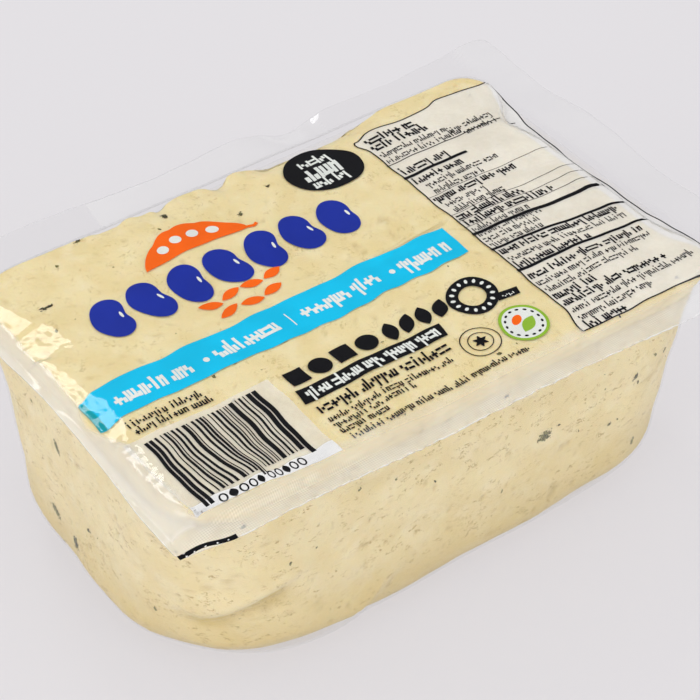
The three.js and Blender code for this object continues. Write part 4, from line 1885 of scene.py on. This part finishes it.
    def round_marks(self, rng: np.random.Generator) -> None:
        """Three small round marks: a black ring, a fine double oval and a green ring."""
        black = [Shapes.ring(14.4, -18.0, 5.0, 5.0, 2.35)]
        black.append(Shapes.quad((17.6, -22.1), (22.2, -22.7), (22.7, -20.9), (17.9, -20.1)))
        black += [Shapes.ring(7.6, -28.8, 3.9, 3.8, 0.2), Shapes.ring(7.6, -28.8, 2.5, 2.4, 0.18)]
        black += [Shapes.leaf(7.6, -28.8, 3.0, 0.9, turn) for turn in (20, 80, 140)]
        self.write("print_black_marks", Ink.BLACK, black, self.field_depth)
        pale = self.beads(14.4, -18.0, 3.85, 0.5, 0.34, 0.0)
        pale.append(Shapes.oval(17.1, -29.2, 4.2, 4.2))
        pale += Dummy(0.9, 0.9, 0.9).row(18.8, 21.9, -21.9, rng, -0.1)
        self.write("print_pale_marks", Ink.CREAM, pale, self.mark_depth)
        dots = self.beads(17.1, -29.2, 3.5, 0.38, 0.24, 90.0)
        self.write("print_small_dots", Ink.BLACK, dots, self.mark_depth - 0.01)
        green = [Shapes.ring(17.1, -29.2, 4.75, 4.75, 0.6), Shapes.leaf(17.7, -30.0, 4.6, 2.3, 35)]
        self.write("print_green_mark", Ink.GREEN, green, self.mark_depth - 0.01)
        spot = Shapes.oval(16.4, -28.0, 1.4, 0.9, 35)
        self.write("print_orange_mark", Ink.ORANGE, [spot], self.mark_depth - 0.01)

    @staticmethod
    def beads(
        cx: float, cy: float, radius: float, rx: float, ry: float, turn: float
    ) -> list[Patch]:
        """A circle of fifteen small ovals, each turned with its place on the circle."""
        ovals = []
        for degrees in range(0, 360, 24):
            a = math.radians(degrees)
            x, y = cx + radius * math.cos(a), cy + radius * math.sin(a)
            ovals.append(Shapes.oval(x, y, rx, ry, degrees + turn))
        return ovals

    def eye_marks(self, rng: np.random.Generator) -> None:
        """The dark strip of the next print that the cut left on top of the front flange."""
        x = np.linspace(-63.1, -53.6, 30)
        low = self.form.front_trim(x) + 0.2 - 0.25 * smoothstep(x, -59, -54)
        strip = Shapes.band(x, low, low + 0.95, 3)
        self.write("print_eye_strip", Ink.BLACK, [strip], -0.02)
        nicks = []
        for foot_x in (-62.0, -60.6, -58.8, -56.9, -55.2):
            wide, high = rng.uniform(0.2, 0.4), rng.uniform(0.15, 0.3)
            foot_y = float(self.form.front_trim(foot_x)) + 0.2
            nicks.append(Shapes.bar(foot_x, foot_x + wide, foot_y, foot_y + high))
        self.write("print_eye_nicks", Ink.SOLID, nicks, -0.035)


# ---- the studio ----------------------------------------------------------------------


@dataclass(frozen=True)
class Softbox:
    """A soft light, so wide and so high, that looks at the pack's middle."""

    name: str
    place: tuple[float, float, float]
    wide: float
    high: float
    power: float

    AIM = (0.0, 0.0, 0.03)

    def build(self) -> None:
        """Adds the light; its place and sizes are in metres."""
        data = bpy.data.lights.new(self.name, "AREA")
        data.shape, data.energy = "RECTANGLE", self.power
        data.size, data.size_y = self.wide, self.high
        made = add_object(self.name, data)
        made.location = self.place
        away = Vector(self.place) - Vector(self.AIM)
        made.rotation_euler = away.to_track_quat("Z", "Y").to_euler()


@dataclass(frozen=True)
class Studio:
    """Pale floor, soft lights and the camera."""

    azimuth: float = -37.022
    elevation: float = 41.508
    roll: float = 0.767
    camera_place: tuple[float, float, float] = (-195.87, -260.07, 318.36)
    lens: float = 118.15
    floor_tone: Colour = (0.20, 0.195, 0.20)
    floor_glow: Colour = (0.555, 0.54, 0.56)
    floor_half: float = 3.0
    world_light: float = 0.82
    mirrored_low: float = 0.8
    mirrored_high: float = 0.08
    softboxes: tuple[Softbox, ...] = (
        Softbox("far_light", (0.092, 0.649, 0.793), 0.16, 0.34, 1.15),
        Softbox("left_light", (-1.9, -0.4, 0.9), 1.2, 1.2, 12.5),
        Softbox("front_light", (0.3, -2.0, 1.2), 1.4, 1.4, 10.0),
    )

    def build(self) -> None:
        """Builds the studio."""
        bpy.context.scene.view_settings.view_transform = "Standard"
        self._camera()
        self._floor()
        self._world()
        for softbox in self.softboxes:
            softbox.build()

    def _camera(self) -> None:
        """Points the camera by azimuth, elevation and roll."""
        a, e, r = (math.radians(v) for v in (self.azimuth, self.elevation, self.roll))
        back = Vector((math.sin(a) * math.cos(e), -math.cos(a) * math.cos(e), math.sin(e)))
        level = Vector((math.cos(a), math.sin(a), 0.0))
        upright = back.cross(level)
        right = math.cos(r) * level + math.sin(r) * upright
        up = math.cos(r) * upright - math.sin(r) * level
        data = bpy.data.cameras.new("camera")
        data.lens = self.lens
        made = add_object("camera", data)
        turned = Matrix((right, up, back)).transposed().to_4x4()
        made.matrix_world = Matrix.Translation(Vector(self.camera_place) * MM) @ turned
        bpy.context.scene.camera = made

    def _floor(self) -> None:
        """A plain pale floor at the pack's underside, lit a little from within."""
        h = self.floor_half
        mesh = bpy.data.meshes.new("floor")
        mesh.from_pydata([(-h, -h, 0), (h, -h, 0), (h, h, 0), (-h, h, 0)], [], [(0, 1, 2, 3)])
        material, graph = Graph.of_material("pale_floor")
        shader = graph.add("ShaderNodeBsdfPrincipled", {
            "Base Color": self.floor_tone, "Roughness": 0.9, "Specular IOR Level": 0.0,
            "Emission Color": self.floor_glow, "Emission Strength": 1.0})
        graph.surface(shader.outputs[0])
        mesh.materials.append(material)
        made = add_object("floor", mesh)

    def _world(self) -> None:
        """Even light from all round; mirrors see a pale horizon under a darker ceiling."""
        world = bpy.data.worlds.new("studio_air")
        world.use_nodes = True
        world.node_tree.nodes.clear()
        graph = Graph(world.node_tree)
        way = graph.add("ShaderNodeTexCoord").outputs["Generated"]
        rise = graph.add("ShaderNodeSeparateXYZ", {0: way}).outputs[2]
        mirrored = graph.step(rise, 0.15, 0.5, self.mirrored_low, self.mirrored_high)
        glossy = graph.add("ShaderNodeLightPath").outputs["Is Glossy Ray"]
        darker = graph.math("SUBTRACT", mirrored, self.world_light)
        strength = graph.math("MULTIPLY_ADD", glossy, darker, self.world_light)
        air = graph.add("ShaderNodeBackground", {"Color": (1.0, 1.0, 1.0), "Strength": strength})
        graph.add("ShaderNodeOutputWorld", {"Surface": air.outputs[0]})
        bpy.context.scene.world = world


# ---- the whole -----------------------------------------------------------------------


def main() -> None:
    """Builds the pack and its studio, in order."""
    logging.basicConfig(level=logging.INFO, format="%(message)s")
    Studio().build()
    form, effects = PackForm(), Effects()
    block = TofuBlock(form, effects)
    block.build(CurdFinish())
    log.info("curd_block: %d faces", len(block.object.data.polygons))
    HerbFlecks(block, effects).build(HerbFinish())
    log.info("herb_flecks laid on the curd")
    PocketFilm(form, effects).build(FilmFinish("clear_pocket", most_mirror=0.13, wrinkle=0.08))
    log.info("pocket_film drawn round it")
    LidPrint(form, effects).build()
    LidFilm(form, effects).build(FilmFinish("clear_lid"))
    log.info("lid_sheet sealed over it")


if __name__ == "__main__":
    main()
